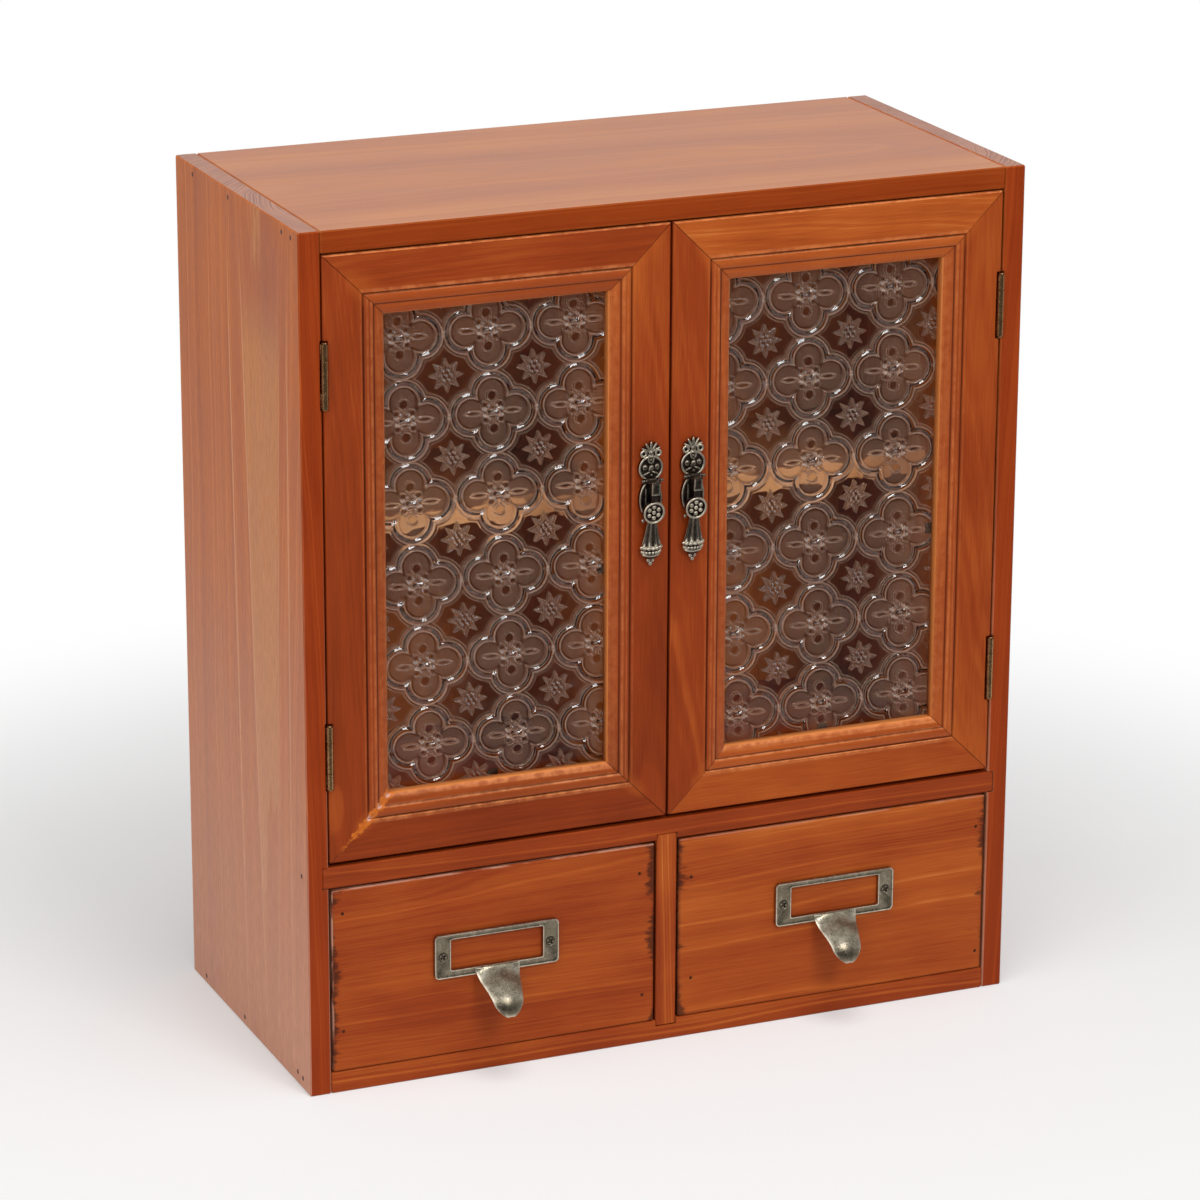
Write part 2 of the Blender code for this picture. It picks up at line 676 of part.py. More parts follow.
def drop_pull(name, side, door_body, drop_body):
    """Back plate with two lugs, pin, hanging drop and the screw that holds the plate."""
    x = side * PULL_X
    plate_front = SEAT_GAP + PLATE_THICKNESS
    plate = piece(
        f"{name}_pull_plate", slab(plate_outline(), -plate_front, -SEAT_GAP),
        (x, FRONT, PULL_DISK_HEIGHT), door_body, ANTIQUE_BRONZE,
    )
    lug_x = ARM_WIDTH / 2 + SEAT_GAP + LUG_WIDTH / 2
    root_half = KNUCKLE_RADIUS * 0.8
    for lug in (-lug_x, lug_x):
        size, centre = span(
            (lug - LUG_WIDTH / 2, -PIVOT_OFF, -PIVOT_DROP - root_half),
            (lug + LUG_WIDTH / 2, -plate_front + PLATE_THICKNESS / 2, -PIVOT_DROP + root_half),
        )
        join(plate, block(size), centre)
        join(plate, rod(KNUCKLE_RADIUS, LUG_WIDTH, "X"), (lug, -PIVOT_OFF, -PIVOT_DROP))
    bore = rod(PULL_PIN_RADIUS + JOINT_GAP, PULL_PIN_LENGTH, "X", TURNED_SIDES)
    cut(plate, bore, (0, -PIVOT_OFF, -PIVOT_DROP))
    cut(
        plate, rod(PULL_SCREW_RADIUS + SEAT_GAP, PULL_SCREW_BITE * 2, "Y", TURNED_SIDES),
        (0, -SEAT_GAP, 0),
    )
    piece(
        f"{name}_pull_pin", rod(PULL_PIN_RADIUS, PULL_PIN_LENGTH, "X", TURNED_SIDES),
        (x, PIVOT_Y, PIVOT_Z), door_body, ANTIQUE_BRONZE,
    )
    shank = DOOR_THICKNESS + PULL_SCREW_BITE
    head = PULL_SCREW_HEAD
    turned(
        f"{name}_pull_screw",
        [
            (0, head),
            (PULL_SCREW_HEAD_RADIUS * 0.6, head),
            (PULL_SCREW_HEAD_RADIUS, head * 0.4),
            (PULL_SCREW_HEAD_RADIUS, 0),
            (PULL_SCREW_RADIUS, 0),
            (PULL_SCREW_RADIUS, -shank),
            (0, -shank),
        ],
        (x, DOOR_BACK + SEAT_GAP, PULL_DISK_HEIGHT), door_body, STEEL, (-math.pi / 2, 0, 0),
    )
    hanging_drop(name, x, drop_body)


def hanging_drop(name, x, carrier):
    """The drop: a knuckle on the pin, an arm and tab, a medallion, a bell, its rim and a finial.

    It is drawn upright round the pin and leans until its finial meets the door.
    """
    medallion = arc((0, -MEDALLION_DROP), (MEDALLION_RADIUS, MEDALLION_RADIUS), 0, 345, 23)
    drop = piece(
        f"{name}_pull_drop",
        slab(medallion, -CASTING_BACK - MEDALLION_THICKNESS, -CASTING_BACK),
        (x, PIVOT_Y, PIVOT_Z), carrier, ANTIQUE_BRONZE,
    )
    drop.rotation_euler.x = math.asin(
        (PIVOT_OFF - SEAT_GAP + CASTING_AXIS - FINIAL_RADIUS) / DROP_LENGTH
    )
    half_arm, half_stem = ARM_WIDTH / 2, STEM_WIDTH / 2
    medallion_top = -MEDALLION_DROP + MEDALLION_RADIUS
    arm = ((-half_arm, -TAB_REACH, KNUCKLE_RADIUS - ARM_STOCK), (half_arm, 0, KNUCKLE_RADIUS))
    tab = (
        (-half_arm, -TAB_REACH, KNUCKLE_RADIUS - TAB_LENGTH),
        (half_arm, -TAB_REACH + ARM_STOCK, KNUCKLE_RADIUS - ARM_STOCK / 2),
    )
    stem = (
        (-half_stem, -TAB_REACH + ARM_STOCK / 2, medallion_top - MEDALLION_RADIUS / 3),
        (half_stem, -CASTING_BACK - ARM_STOCK / 2, KNUCKLE_RADIUS - TAB_LENGTH * 0.7),
    )
    for low, high in (tab, arm, stem):
        size, centre = span(low, high)
        join(drop, block(size), centre)
    join(drop, rod(KNUCKLE_RADIUS, ARM_WIDTH, "X"), (0, 0, 0))
    join(drop, bell_mesh(), (0, -CASTING_AXIS, 0))
    deep = MEDALLION_RADIUS * 2
    size, centre = span(
        (-deep, -CASTING_BACK, -RIM_BOTTOM_DROP - FINIAL_RADIUS / 4), (deep, deep, medallion_top)
    )
    cut(drop, block(size), centre)
    bore = rod(PULL_PIN_RADIUS + JOINT_GAP, PULL_PIN_LENGTH, "X", TURNED_SIDES)
    cut(drop, bore, (0, 0, 0))


def bell_mesh():
    """The turned lower half of a drop, from its neck to the finial, as a closed mesh."""
    rim_top = BELL_BOTTOM_DROP
    neck = RIM_BOTTOM_DROP + FINIAL_RADIUS / 2
    profile = [
        (0, MEDALLION_DROP + MEDALLION_RADIUS / 2),
        (BELL_TOP_RADIUS, BELL_TOP_DROP),
        (BELL_TOP_RADIUS * 1.1, (BELL_TOP_DROP * 2 + rim_top) / 3),
        (BELL_BOTTOM_RADIUS, rim_top),
        (RIM_RADIUS, rim_top + RIM_RADIUS / 5),
        (RIM_RADIUS, (rim_top + RIM_BOTTOM_DROP) / 2),
        (RIM_RADIUS * 0.72, RIM_BOTTOM_DROP - RIM_RADIUS / 5),
        (FINIAL_RADIUS * 0.6, neck),
        (FINIAL_RADIUS, (neck + DROP_LENGTH) / 2),
        (FINIAL_RADIUS * 0.6, DROP_LENGTH - FINIAL_RADIUS / 4),
        (0, DROP_LENGTH),
    ]
    mesh = bpy.data.meshes.new("bell")
    shape = bmesh.new()
    points = [shape.verts.new((radius, 0, -drop)) for radius, drop in profile]
    edges = [shape.edges.new(pair) for pair in zip(points, points[1:])]
    bmesh.ops.spin(
        shape, geom=points + edges, cent=(0, 0, 0), axis=(0, 0, 1),
        angle=2 * math.pi, steps=TURNED_SIDES, use_merge=True,
    )
    bmesh.ops.remove_doubles(shape, verts=shape.verts, dist=0.00001)
    bmesh.ops.scale(shape, vec=(1, CASTING_FLATNESS, 1), verts=shape.verts)
    bmesh.ops.recalc_face_normals(shape, faces=shape.faces)
    shape.to_mesh(mesh)
    shape.free()
    return mesh


def drawer(name, side, carrier):
    """A drawer box: front nailed on the ends of two sides, a back between them, a grooved bottom."""
    behind = FRONT + DRAWER_FRONT_THICKNESS + JOINT_GAP
    low_x, high_x = mirrored(side, DRAWER_INNER_X, DRAWER_OUTER_X)
    front = board(
        f"{name}_drawer_front",
        (low_x, FRONT, DRAWER_LOW), (high_x, behind - JOINT_GAP, DRAWER_FRONT_HIGH),
        carrier, PINE,
    )
    walls = [front]
    thick = DRAWER_SIDE_THICKNESS
    for which, near in (("outer", DRAWER_OUTER_X - thick), ("inner", DRAWER_INNER_X)):
        wall_low, wall_high = mirrored(side, near, near + thick)
        walls.append(
            board(
                f"{name}_drawer_{which}_side",
                (wall_low, behind, DRAWER_LOW), (wall_high, DRAWER_REAR, DRAWER_SIDE_HIGH),
                carrier, DRAWER_WOOD,
            )
        )
    inner_low = low_x + thick + JOINT_GAP
    inner_high = high_x - thick - JOINT_GAP
    walls.append(
        board(
            f"{name}_drawer_back",
            (inner_low, DRAWER_REAR - DRAWER_BACK_THICKNESS, DRAWER_LOW),
            (inner_high, DRAWER_REAR, DRAWER_SIDE_HIGH),
            carrier, DRAWER_WOOD,
        )
    )
    bottom_low = DRAWER_LOW + DRAWER_BOTTOM_RISE
    bottom_high = bottom_low + DRAWER_BOTTOM_THICKNESS
    deep, gap = DRAWER_GROOVE_DEPTH, JOINT_GAP
    groove_low = (low_x + thick - deep, behind - deep, bottom_low)
    groove_high = (
        high_x - thick + deep, DRAWER_REAR - DRAWER_BACK_THICKNESS + deep, bottom_high
    )
    for wall in walls:
        cut_box(
            wall,
            Vector(groove_low) - Vector((0, 0, gap)), Vector(groove_high) + Vector((0, 0, gap)),
        )
    inset = Vector((gap, gap, 0))
    size, centre = span(Vector(groove_low) + inset, Vector(groove_high) - inset)
    piece(f"{name}_drawer_bottom", block(size), centre, carrier, DRAWER_WOOD)
    label_pull(name, side, front, carrier)


def rounded_rectangle(width, height, corner, rise=0.0):
    """Points round a rectangle with rounded corners, its centre raised by rise."""
    across, up = width / 2 - corner, height / 2 - corner
    points = []
    for x, z, start in ((across, up, 0), (-across, up, 90), (-across, -up, 180), (across, -up, 270)):
        points += arc((x, z + rise), (corner, corner), start, start + 90, 3)
    return points


def tongue_mesh():
    """The finger tongue: an arched shell that leaves the lower bar and turns down to a round tip."""
    across_steps, along_steps = 8, 12
    tip_height = -LABEL_HEIGHT / 2 + LABEL_THICKNESS - TONGUE_DROP
    root_off = SEAT_GAP + LABEL_THICKNESS / 2
    mesh = bpy.data.meshes.new("tongue")
    shape = bmesh.new()
    bmesh.ops.create_grid(shape, x_segments=across_steps, y_segments=along_steps, size=0.5)
    for vertex in shape.verts:
        across, along = vertex.co.x * 2, vertex.co.y + 0.5
        sweep = math.radians(TONGUE_SWEEP * along)
        narrowing = 1 - (1 - (TONGUE_TIP_WIDTH / TONGUE_WIDTH) ** 2) * along**TONGUE_ROUNDNESS
        half = TONGUE_WIDTH / 2 * narrowing**0.5
        flare = min(1, along / TONGUE_FLARE)
        camber = TONGUE_CAMBER * across * across * (half * 2 / TONGUE_WIDTH) * flare
        out = root_off + TONGUE_REACH * math.sin(sweep)
        height = tip_height + TONGUE_DROP * math.cos(sweep)
        vertex.co = (
            across * half,
            -out + camber * math.sin(sweep),
            height - camber * math.cos(sweep),
        )
    bmesh.ops.recalc_face_normals(shape, faces=shape.faces)
    bmesh.ops.solidify(shape, geom=shape.faces, thickness=TONGUE_STOCK)
    bmesh.ops.recalc_face_normals(shape, faces=shape.faces)
    shape.to_mesh(mesh)
    shape.free()
    return mesh


def label_pull(name, side, front, carrier):
    """The label holder with its finger tongue, and the two screws that hold it to the front."""
    x = side * DRAWER_CENTRE_X
    place = Vector((x, FRONT, LABEL_CENTRE_HEIGHT))
    near, far = -SEAT_GAP - LABEL_THICKNESS, -SEAT_GAP
    frame = piece(
        f"{name}_label_pull",
        slab(rounded_rectangle(LABEL_WIDTH, LABEL_HEIGHT, LABEL_CORNER), near, far),
        place, carrier, PEWTER,
    )
    join(frame, tongue_mesh(), (0, 0, 0))
    window = rounded_rectangle(WINDOW_WIDTH, WINDOW_HEIGHT, WINDOW_CORNER, WINDOW_RISE)
    cut(frame, slab(window, near * 2, -far), (0, 0, 0))
    sink = LABEL_SCREW_HEAD_RADIUS - LABEL_SCREW_RADIUS
    head_front = near + HARDWARE_GAP
    for which, offset in (("outer", side), ("inner", -side)):
        screw_x = offset * LABEL_SCREW_SPACING / 2
        clear = SEAT_GAP
        seat = countersink_mesh(
            LABEL_SCREW_HEAD_RADIUS + clear, LABEL_SCREW_RADIUS + clear, sink,
            -head_front, LABEL_SCREW_LENGTH + clear,
        )
        cut(frame, seat, (screw_x, 0, 0))
        cut(front, rod(LABEL_SCREW_RADIUS + clear, LABEL_SCREW_LENGTH * 2, "Y", TURNED_SIDES),
            place + Vector((screw_x, 0, 0)) - places[front.name])
        turned(
            f"{name}_label_{which}_screw",
            [
                (0, 0),
                (LABEL_SCREW_HEAD_RADIUS, 0),
                (LABEL_SCREW_RADIUS, -sink),
                (LABEL_SCREW_RADIUS, -LABEL_SCREW_LENGTH),
                (0, -LABEL_SCREW_LENGTH - LABEL_SCREW_RADIUS),
            ],
            place + Vector((screw_x, head_front, 0)), carrier, PEWTER, (math.pi / 2, 0, 0),
        )


def countersink_mesh(head_radius, shank_radius, sink, front_off, depth):
    """The hole that a countersunk screw needs, along Y: open in front, conical, then straight."""
    mesh = bpy.data.meshes.new("countersink")
    shape = bmesh.new()
    profile = [
        (0, front_off * 2), (head_radius, front_off * 2), (head_radius, front_off),
        (shank_radius, front_off - sink), (shank_radius, front_off - depth),
        (0, front_off - depth),
    ]
    points = [shape.verts.new((radius, 0, height)) for radius, height in profile]
    edges = [shape.edges.new(pair) for pair in zip(points, points[1:])]
    bmesh.ops.spin(
        shape, geom=points + edges, cent=(0, 0, 0), axis=(0, 0, 1),
        angle=2 * math.pi, steps=TURNED_SIDES, use_merge=True,
    )
    bmesh.ops.remove_doubles(shape, verts=shape.verts, dist=0.00001)
    bmesh.ops.rotate(
        shape, cent=(0, 0, 0), matrix=Matrix.Rotation(math.pi / 2, 3, "X"), verts=shape.verts
    )
    bmesh.ops.recalc_face_normals(shape, faces=shape.faces)
    shape.to_mesh(mesh)
    shape.free()
    return mesh


def catch(name, side, root, door_body):
    """A magnet catch under the top beside the partition, and its strike on the door's back."""
    near = PARTITION_THICKNESS / 2 + CATCH_FROM_PARTITION
    low_x, high_x = mirrored(side, near, near + CATCH_WIDTH)
    strike_back = DOOR_BACK + SEAT_GAP + STRIKE_THICKNESS
    high = TOP_UNDERSIDE - SEAT_GAP
    board(
        f"{name}_catch_magnet",
        (low_x, strike_back + SEAT_GAP, high - CATCH_HEIGHT),
        (high_x, strike_back + SEAT_GAP + CATCH_DEPTH, high),
        root, CATCH_PLASTIC,
    )
    middle = side * (near + CATCH_WIDTH / 2)
    height = high - CATCH_HEIGHT / 2
    size, centre = span(
        (middle - STRIKE_WIDTH / 2, DOOR_BACK + SEAT_GAP, height - STRIKE_HEIGHT / 2),
        (middle + STRIKE_WIDTH / 2, strike_back, height + STRIKE_HEIGHT / 2),
    )
    piece(f"{name}_catch_strike", block(size), centre, door_body, STEEL)


def build():
    """Clears the scene and makes the whole cabinet."""
    global parts, helpers
    for obj in list(bpy.data.objects):
        bpy.data.objects.remove(obj, do_unlink=True)
    parts = bpy.data.collections.new("countertop_cabinet")
    helpers = bpy.data.collections.new("cutters")
    bpy.context.scene.collection.children.link(parts)
    bpy.context.scene.collection.children.link(helpers)

    root = body("carcass", (0, 0, 0))
    carcass_boards(root)
    for name, side in SIDES.items():
        door_body = body(f"{name}_door", (side * HINGE_X, HINGE_Y, DOOR_LOW), root)
        drop_body = body(f"{name}_drop", (side * PULL_X, PIVOT_Y, PIVOT_Z), door_body)
        drawer_body = body(
            f"{name}_drawer", (side * DRAWER_CENTRE_X, FRONT, DRAWER_LOW), root
        )
        door(name, side, door_body)
        for level, height in HINGE_HEIGHTS.items():
            hinge(f"{name}_{level}_hinge", side, height, root, door_body)
        drop_pull(name, side, door_body, drop_body)
        drawer(name, side, drawer_body)
        catch(name, side, root, door_body)


build()
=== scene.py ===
"""Countertop cabinet in stained pine: finishes, panes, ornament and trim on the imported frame."""

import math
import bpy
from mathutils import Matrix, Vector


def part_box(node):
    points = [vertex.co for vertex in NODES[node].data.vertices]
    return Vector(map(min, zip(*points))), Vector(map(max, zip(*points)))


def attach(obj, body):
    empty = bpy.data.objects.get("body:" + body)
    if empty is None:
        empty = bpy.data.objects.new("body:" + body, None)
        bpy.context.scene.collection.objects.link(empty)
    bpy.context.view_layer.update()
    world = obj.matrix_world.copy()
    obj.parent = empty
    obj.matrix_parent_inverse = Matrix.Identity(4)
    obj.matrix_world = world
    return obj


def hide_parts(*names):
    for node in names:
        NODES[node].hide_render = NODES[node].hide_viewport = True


bl_info = {
    "name": "Countertop cabinet",
    "version": (1, 0, 0),
    "blender": (4, 5, 0),
    "location": "View3D > Sidebar > Cabinet",
    "description": "Dresses the packed cabinet with stained pine, embossed glass and antique metal",
    "category": "Object",
}

import bmesh
import bpy
from mathutils import Matrix, Vector

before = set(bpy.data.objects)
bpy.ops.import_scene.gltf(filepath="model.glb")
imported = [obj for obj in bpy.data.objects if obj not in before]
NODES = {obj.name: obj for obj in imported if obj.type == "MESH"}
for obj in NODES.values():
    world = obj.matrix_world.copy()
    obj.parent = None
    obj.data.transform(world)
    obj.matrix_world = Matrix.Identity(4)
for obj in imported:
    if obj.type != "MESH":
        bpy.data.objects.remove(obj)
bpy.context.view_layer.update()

SIDES = {"left": -1, "right": 1}
MM = 0.001
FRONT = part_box("left_side_panel")[0].y / MM
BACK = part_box("left_side_panel")[1].y / MM
HALF_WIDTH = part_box("right_side_panel")[1].x / MM
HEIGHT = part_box("left_side_panel")[1].z / MM

# The photo's camera: where it looks from, in degrees, where it stands, in metres, and its lens
PHOTO_AZIMUTH, PHOTO_ELEVATION, PHOTO_ROLL = -23.15, 17.84, 0.23
PHOTO_PLACE = (-0.853, -1.998, 0.889)
PHOTO_FOCAL, PHOTO_WIDTH, SENSOR = 4879, 1200, 36

# Millimetres from a door member's outer edge to the parts of its moulding
GROOVE, BEAD, INNER_GROOVE, WALL = 18.6, (18.8, 19.2), 23.6, (28.2, 28.7)

# Millimetres from a label holder's middle to a screw, and from a door's edge to a clip
LABEL_SCREW, CLIP_INSET = 26.25, 25

# The drop pull, in millimetres below and before its pin: its medallion, the top and foot of the
# bell's flutes, how the round bell is flattened and where its middle lies, and its lean
MEDALLION, FLUTE_TOP, FLUTE_FOOT = -13.9, -15.5, -29.8
BELL_FLATTEN, BELL_MIDDLE = 0.62, 2.3
DROP_LEAN = math.asin(4.2 / 40.2)


def colour_setting(name, description, default):
    """A colour that the user may change, in linear light."""
    return bpy.props.FloatVectorProperty(
        name=name, description=description, default=default, size=3, min=0, max=1, subtype="COLOR"
    )


def length_setting(name, description, default):
    """A length that the user may change, in metres."""
    return bpy.props.FloatProperty(
        name=name, description=description, default=default, min=0, subtype="DISTANCE",
        unit="LENGTH",
    )


class CabinetWoodSettings(bpy.types.PropertyGroup):
    """Colours of the stained pine."""

    deep: colour_setting("Deep stain", "Darkest tone of the stain", (0.14, 0.019, 0.003))
    stain: colour_setting("Stain", "Main tone of the stain", (0.285, 0.042, 0.006))
    light: colour_setting("Light streak", "Tone of the lighter grain", (0.43, 0.092, 0.013))
    pale: colour_setting("Rubbed wood", "Tone where the stain is thin", (0.60, 0.19, 0.04))
    # The dark rub also colours painted shade: in the door moulding's grooves, and along the drawer
    # fronts' ends and bottom edge.
    grime: colour_setting("Dark rub", "Tone rubbed into ends and joints", (0.045, 0.010, 0.004))


class CabinetMetalSettings(bpy.types.PropertyGroup):
    """Colours and sizes of the metal fittings."""

    bronze: colour_setting("Bronze", "Antique bronze of the drop pulls", (0.18, 0.150, 0.115))
    bronze_worn: colour_setting("Rubbed bronze", "Bronze on its high spots", (0.68, 0.62, 0.49))
    pewter: colour_setting("Pewter", "Antique grey of the label holders", (0.21, 0.180, 0.128))
    pewter_worn: colour_setting("Rubbed pewter", "Grey on its rims", (0.68, 0.63, 0.51))
    nail_radius: length_setting("Nail radius", "Radius of a nail head", 0.0008)


class CabinetGlassSettings(bpy.types.PropertyGroup):
    """The embossed panes."""

    relief: length_setting("Relief", "Height of the embossed lines", 0.00042)
    tint: colour_setting("Tint", "Colour of the glass", (0.93, 0.90, 0.85))
    # The painted sheen is the colour of the pale film that paints highlights on the embossed lines.
    painted_sheen: colour_setting("Bloom", "Colour that the embossing scatters", (0.86, 0.58, 0.42))


class Wire:
    """A socket in a graph. Arithmetic on it adds the Math nodes."""

    def __init__(self, graph, socket):
        self.graph = graph
        self.socket = socket

    def math(self, operation, *others):
        values = dict(enumerate((self, *others)))
        return self.graph.node("ShaderNodeMath", values, operation=operation)

    def __add__(self, other):
        return self.math("ADD", other)

    def __sub__(self, other):
        return self.math("SUBTRACT", other)

    def __mul__(self, other):
        return self.math("MULTIPLY", other)

    def __truediv__(self, other):
        return self.math("DIVIDE", other)

    def __rsub__(self, other):
        return self * -1 + other

    __radd__ = __add__
    __rmul__ = __mul__

    def size(self):
        return self.math("ABSOLUTE")

    def least(self, other):
        return self.math("MINIMUM", other)

    def most(self, other):
        return self.math("MAXIMUM", other)

    def rise(self, low, high):
        """0 below low, 1 above high, and a smooth step between them."""
        values = {"Value": self, "From Min": low, "From Max": high}
        return self.graph.node("ShaderNodeMapRange", values, interpolation_type="SMOOTHSTEP")

    def fall(self, low, high):
        """1 below low, 0 above high, and a smooth step between them."""
        return 1 - self.rise(low, high)

    def within(self, low, high):
        """How far the value is from the nearer end of a span."""
        return (self - low).least((self - high) * -1)

    def hypot(self, other):
        return (self * self + other * other).math("SQRT")

    def ridge(self, middle, half_width):
        """1 where the value is middle, falling smoothly to 0 at half_width on either side."""
        off = (self - middle) / half_width
        return (1 - off * off).most(0)


class Graph:
    """The nodes of a material or a world."""

    def __init__(self, tree):
        self.tree = tree

    def node(self, kind, values=None, output=0, stops=None, **settings):
        """Adds a node: its settings first, then the values or links of its sockets."""
        made = self.tree.nodes.new(kind)
        for setting, value in settings.items():
            setattr(made, setting, value)
        if stops:
            ramp = made.color_ramp
            while len(ramp.elements) < len(stops):
                ramp.elements.new(0.5)
            for element, (position, colour) in zip(ramp.elements, stops):
                element.position = position
                element.color = (*colour, 1.0)
        for socket, value in (values or {}).items():
            self.feed(made.inputs[socket], value)
        return made if output is None else Wire(self, made.outputs[output])

    def feed(self, socket, value):
        """Links a wire to a socket, or sets the socket's own value."""
        if isinstance(value, Wire):
            self.tree.links.new(value.socket, socket)
        elif hasattr(value, "__len__") and socket.type == "RGBA":
            socket.default_value = (*value[:3], 1.0)
        else:
            socket.default_value = value

    def rays(self, *names):
        """Light Path outputs."""
        return [self.node("ShaderNodeLightPath", output=name) for name in names]

    def mixed(self, factor, first, second):
        return self.node("ShaderNodeMixShader", {0: factor, 1: first, 2: second})


class Finish(Graph):
    """A material, with the few ways of adding nodes that the finishes below need."""

    def __init__(self, name):
        self.material = bpy.data.materials.new(name)
        self.material.use_nodes = True
        super().__init__(self.material.node_tree)
        self.shader = self.tree.nodes["Principled BSDF"]
        self.shaded = Wire(self, self.shader.outputs[0])

    def show(self, shader):
        """Makes a shader the material's surface in place of the principled one."""
        self.feed(self.tree.nodes["Material Output"].inputs["Surface"], shader)

    def set(self, **values):
        """Sets or links the shader's sockets, named with underscores for spaces."""
        for name, value in values.items():
            self.feed(self.shader.inputs[name.replace("_", " ")], value)

    def millimetres(self):
        """The object's own x, y and z in millimetres."""
        place = self.node("ShaderNodeTexCoord", output="Object")
        scaled = self.node("ShaderNodeVectorMath", {0: place, 1: (1000, 1000, 1000)},
                           operation="MULTIPLY")
        return [self.node("ShaderNodeSeparateXYZ", {0: scaled}, output=n) for n in range(3)]

    def noise(self, x, y, z, detail=2.0, rough=0.5):
        """Noise over three wires or numbers, about 0.5 on average."""
        vector = self.node("ShaderNodeCombineXYZ", {0: x, 1: y, 2: z})
        values = {"Vector": vector, "Scale": 1.0, "Detail": detail, "Roughness": rough}
        return self.node("ShaderNodeTexNoise", values)

    def line_noise(self, value, detail=1.0):
        """Noise along one value, for bands that follow it."""
        values = {"W": value, "Scale": 1.0, "Detail": detail}
        return self.node("ShaderNodeTexNoise", values, noise_dimensions="1D")

    def blend(self, factor, first, second, how="MIX"):
        """first where factor is 0 and second where it is 1."""
        return self.node("ShaderNodeMix", {0: factor, 6: first, 7: second}, output=2,
                         data_type="RGBA", blend_type=how)

    def darken(self, factor, colour, by):
        """The colour, multiplied by another where factor is 1."""
        return self.blend(factor, colour, self.blend(1.0, colour, by, "MULTIPLY"))

    def veins(self, across, down, lines):
        """Streaks down a board. Each line has its drift, place, half width and strength."""
        return sum((across + down * drift).ridge(place, half) * strength
                   for drift, place, half, strength in lines)

    def bump(self, height, distance, strength=1.0):
        return self.node("ShaderNodeBump",
                         {"Height": height, "Distance": distance, "Strength": strength})


def stained_wood(name, grain, heart, lean, seed, shift=0.0, streaks=0.5, contrast=1.0,
                 rough=0.42, fade=(0.0, 0.0), marks=None, tones=None, upright_face="front"):
    """Stained pine, cut from a log whose heart runs near the grain.

    heart is where the log's middle line passes, in millimetres across and through the board,
    and lean how it drifts along the grain, so that boards show flames as well as lines. shift
    makes the board lighter or darker, fade does so along it, and marks may add figure, wear,
    gloss, and painted light and shade.
    """
    wood = bpy.context.scene.cabinet_wood
    deep, stain, light, pale = tones or [
        tuple(tone) for tone in (wood.deep, wood.stain, wood.light, wood.pale)
    ]
    finish = Finish(name)
    x, y, z = finish.millimetres()
    along, across, through = {"X": (x, z, y), "Y": (y, x, z), "Z": (z, x, y)}[grain]
    if upright_face == "side":
        across, through = y, x
    wander = finish.noise(across / 45 + seed, through / 45, along / 210)
    side = across - heart[0] + along * lean[0]
    deepness = through - heart[1] + along * lean[1]
    radius = side.hypot(deepness) + (wander - 0.5) * 10
    broad = finish.line_noise(radius * 0.07 + seed * 7)
    bands = finish.line_noise(radius * 0.24 + seed * 3, 2.0)
    lines = finish.line_noise(radius * 0.95 + seed, 1.0)
    fibre = finish.noise(across * 1.6, through * 1.6, along * 0.04 + seed, 3.0)
    blotch = finish.noise(across / 26, through / 26 + seed, along / 60, 3.0)
    tone = (
        (broad - 0.5) * (0.30 * contrast) + (bands - 0.5) * (0.24 * contrast)
        + (lines - 0.5) * (0.20 * contrast) + (fibre - 0.5) * 0.34 + (blotch - 0.5) * 0.46
        + (along - fade[0]) * fade[1] + (0.47 + shift)
    )
    streak = bands.rise(0.57, 0.66) * lines.rise(0.45, 0.62)
    tone = tone + streak * (0.22 * streaks)
    colour = finish.node(
        "ShaderNodeValToRGB", {0: tone},
        stops=[(0.08, deep), (0.48, stain), (0.76, light), (1.0, pale)],
    )
    facing = finish.node("ShaderNodeTexCoord", output="Normal")
    normal = [finish.node("ShaderNodeSeparateXYZ", {0: facing}, output=n) for n in range(3)]
    end = normal["XYZ".index(grain)].size().rise(0.8, 0.95)
    hatch = finish.line_noise(radius * 1.15 + seed, 1.0).rise(0.44, 0.56)
    hatch = hatch * (fibre * 0.7 + 0.5) * (blotch * 1.6).least(1)
    end_colour = finish.blend(hatch, (0.44, 0.17, 0.09), (0.12, 0.032, 0.018))
    colour = finish.blend(end * 0.9, colour, end_colour)
    height = fibre + lines * 0.4 + hatch * end * 1.5
    if marks:
        colour, bumps, gloss = marks(finish, colour, (x, y, z), fibre, normal)
        height = height + bumps
        finish.set(Coat_Weight=gloss, Coat_Roughness=0.30)
    finish.set(
        Base_Color=colour, Roughness=(fibre - 0.5) * 0.22 + (blotch - 0.5) * 0.12 + rough,
        Normal=finish.bump(height, 0.00014, 0.7), Specular_IOR_Level=0.12,
    )
    return finish.material


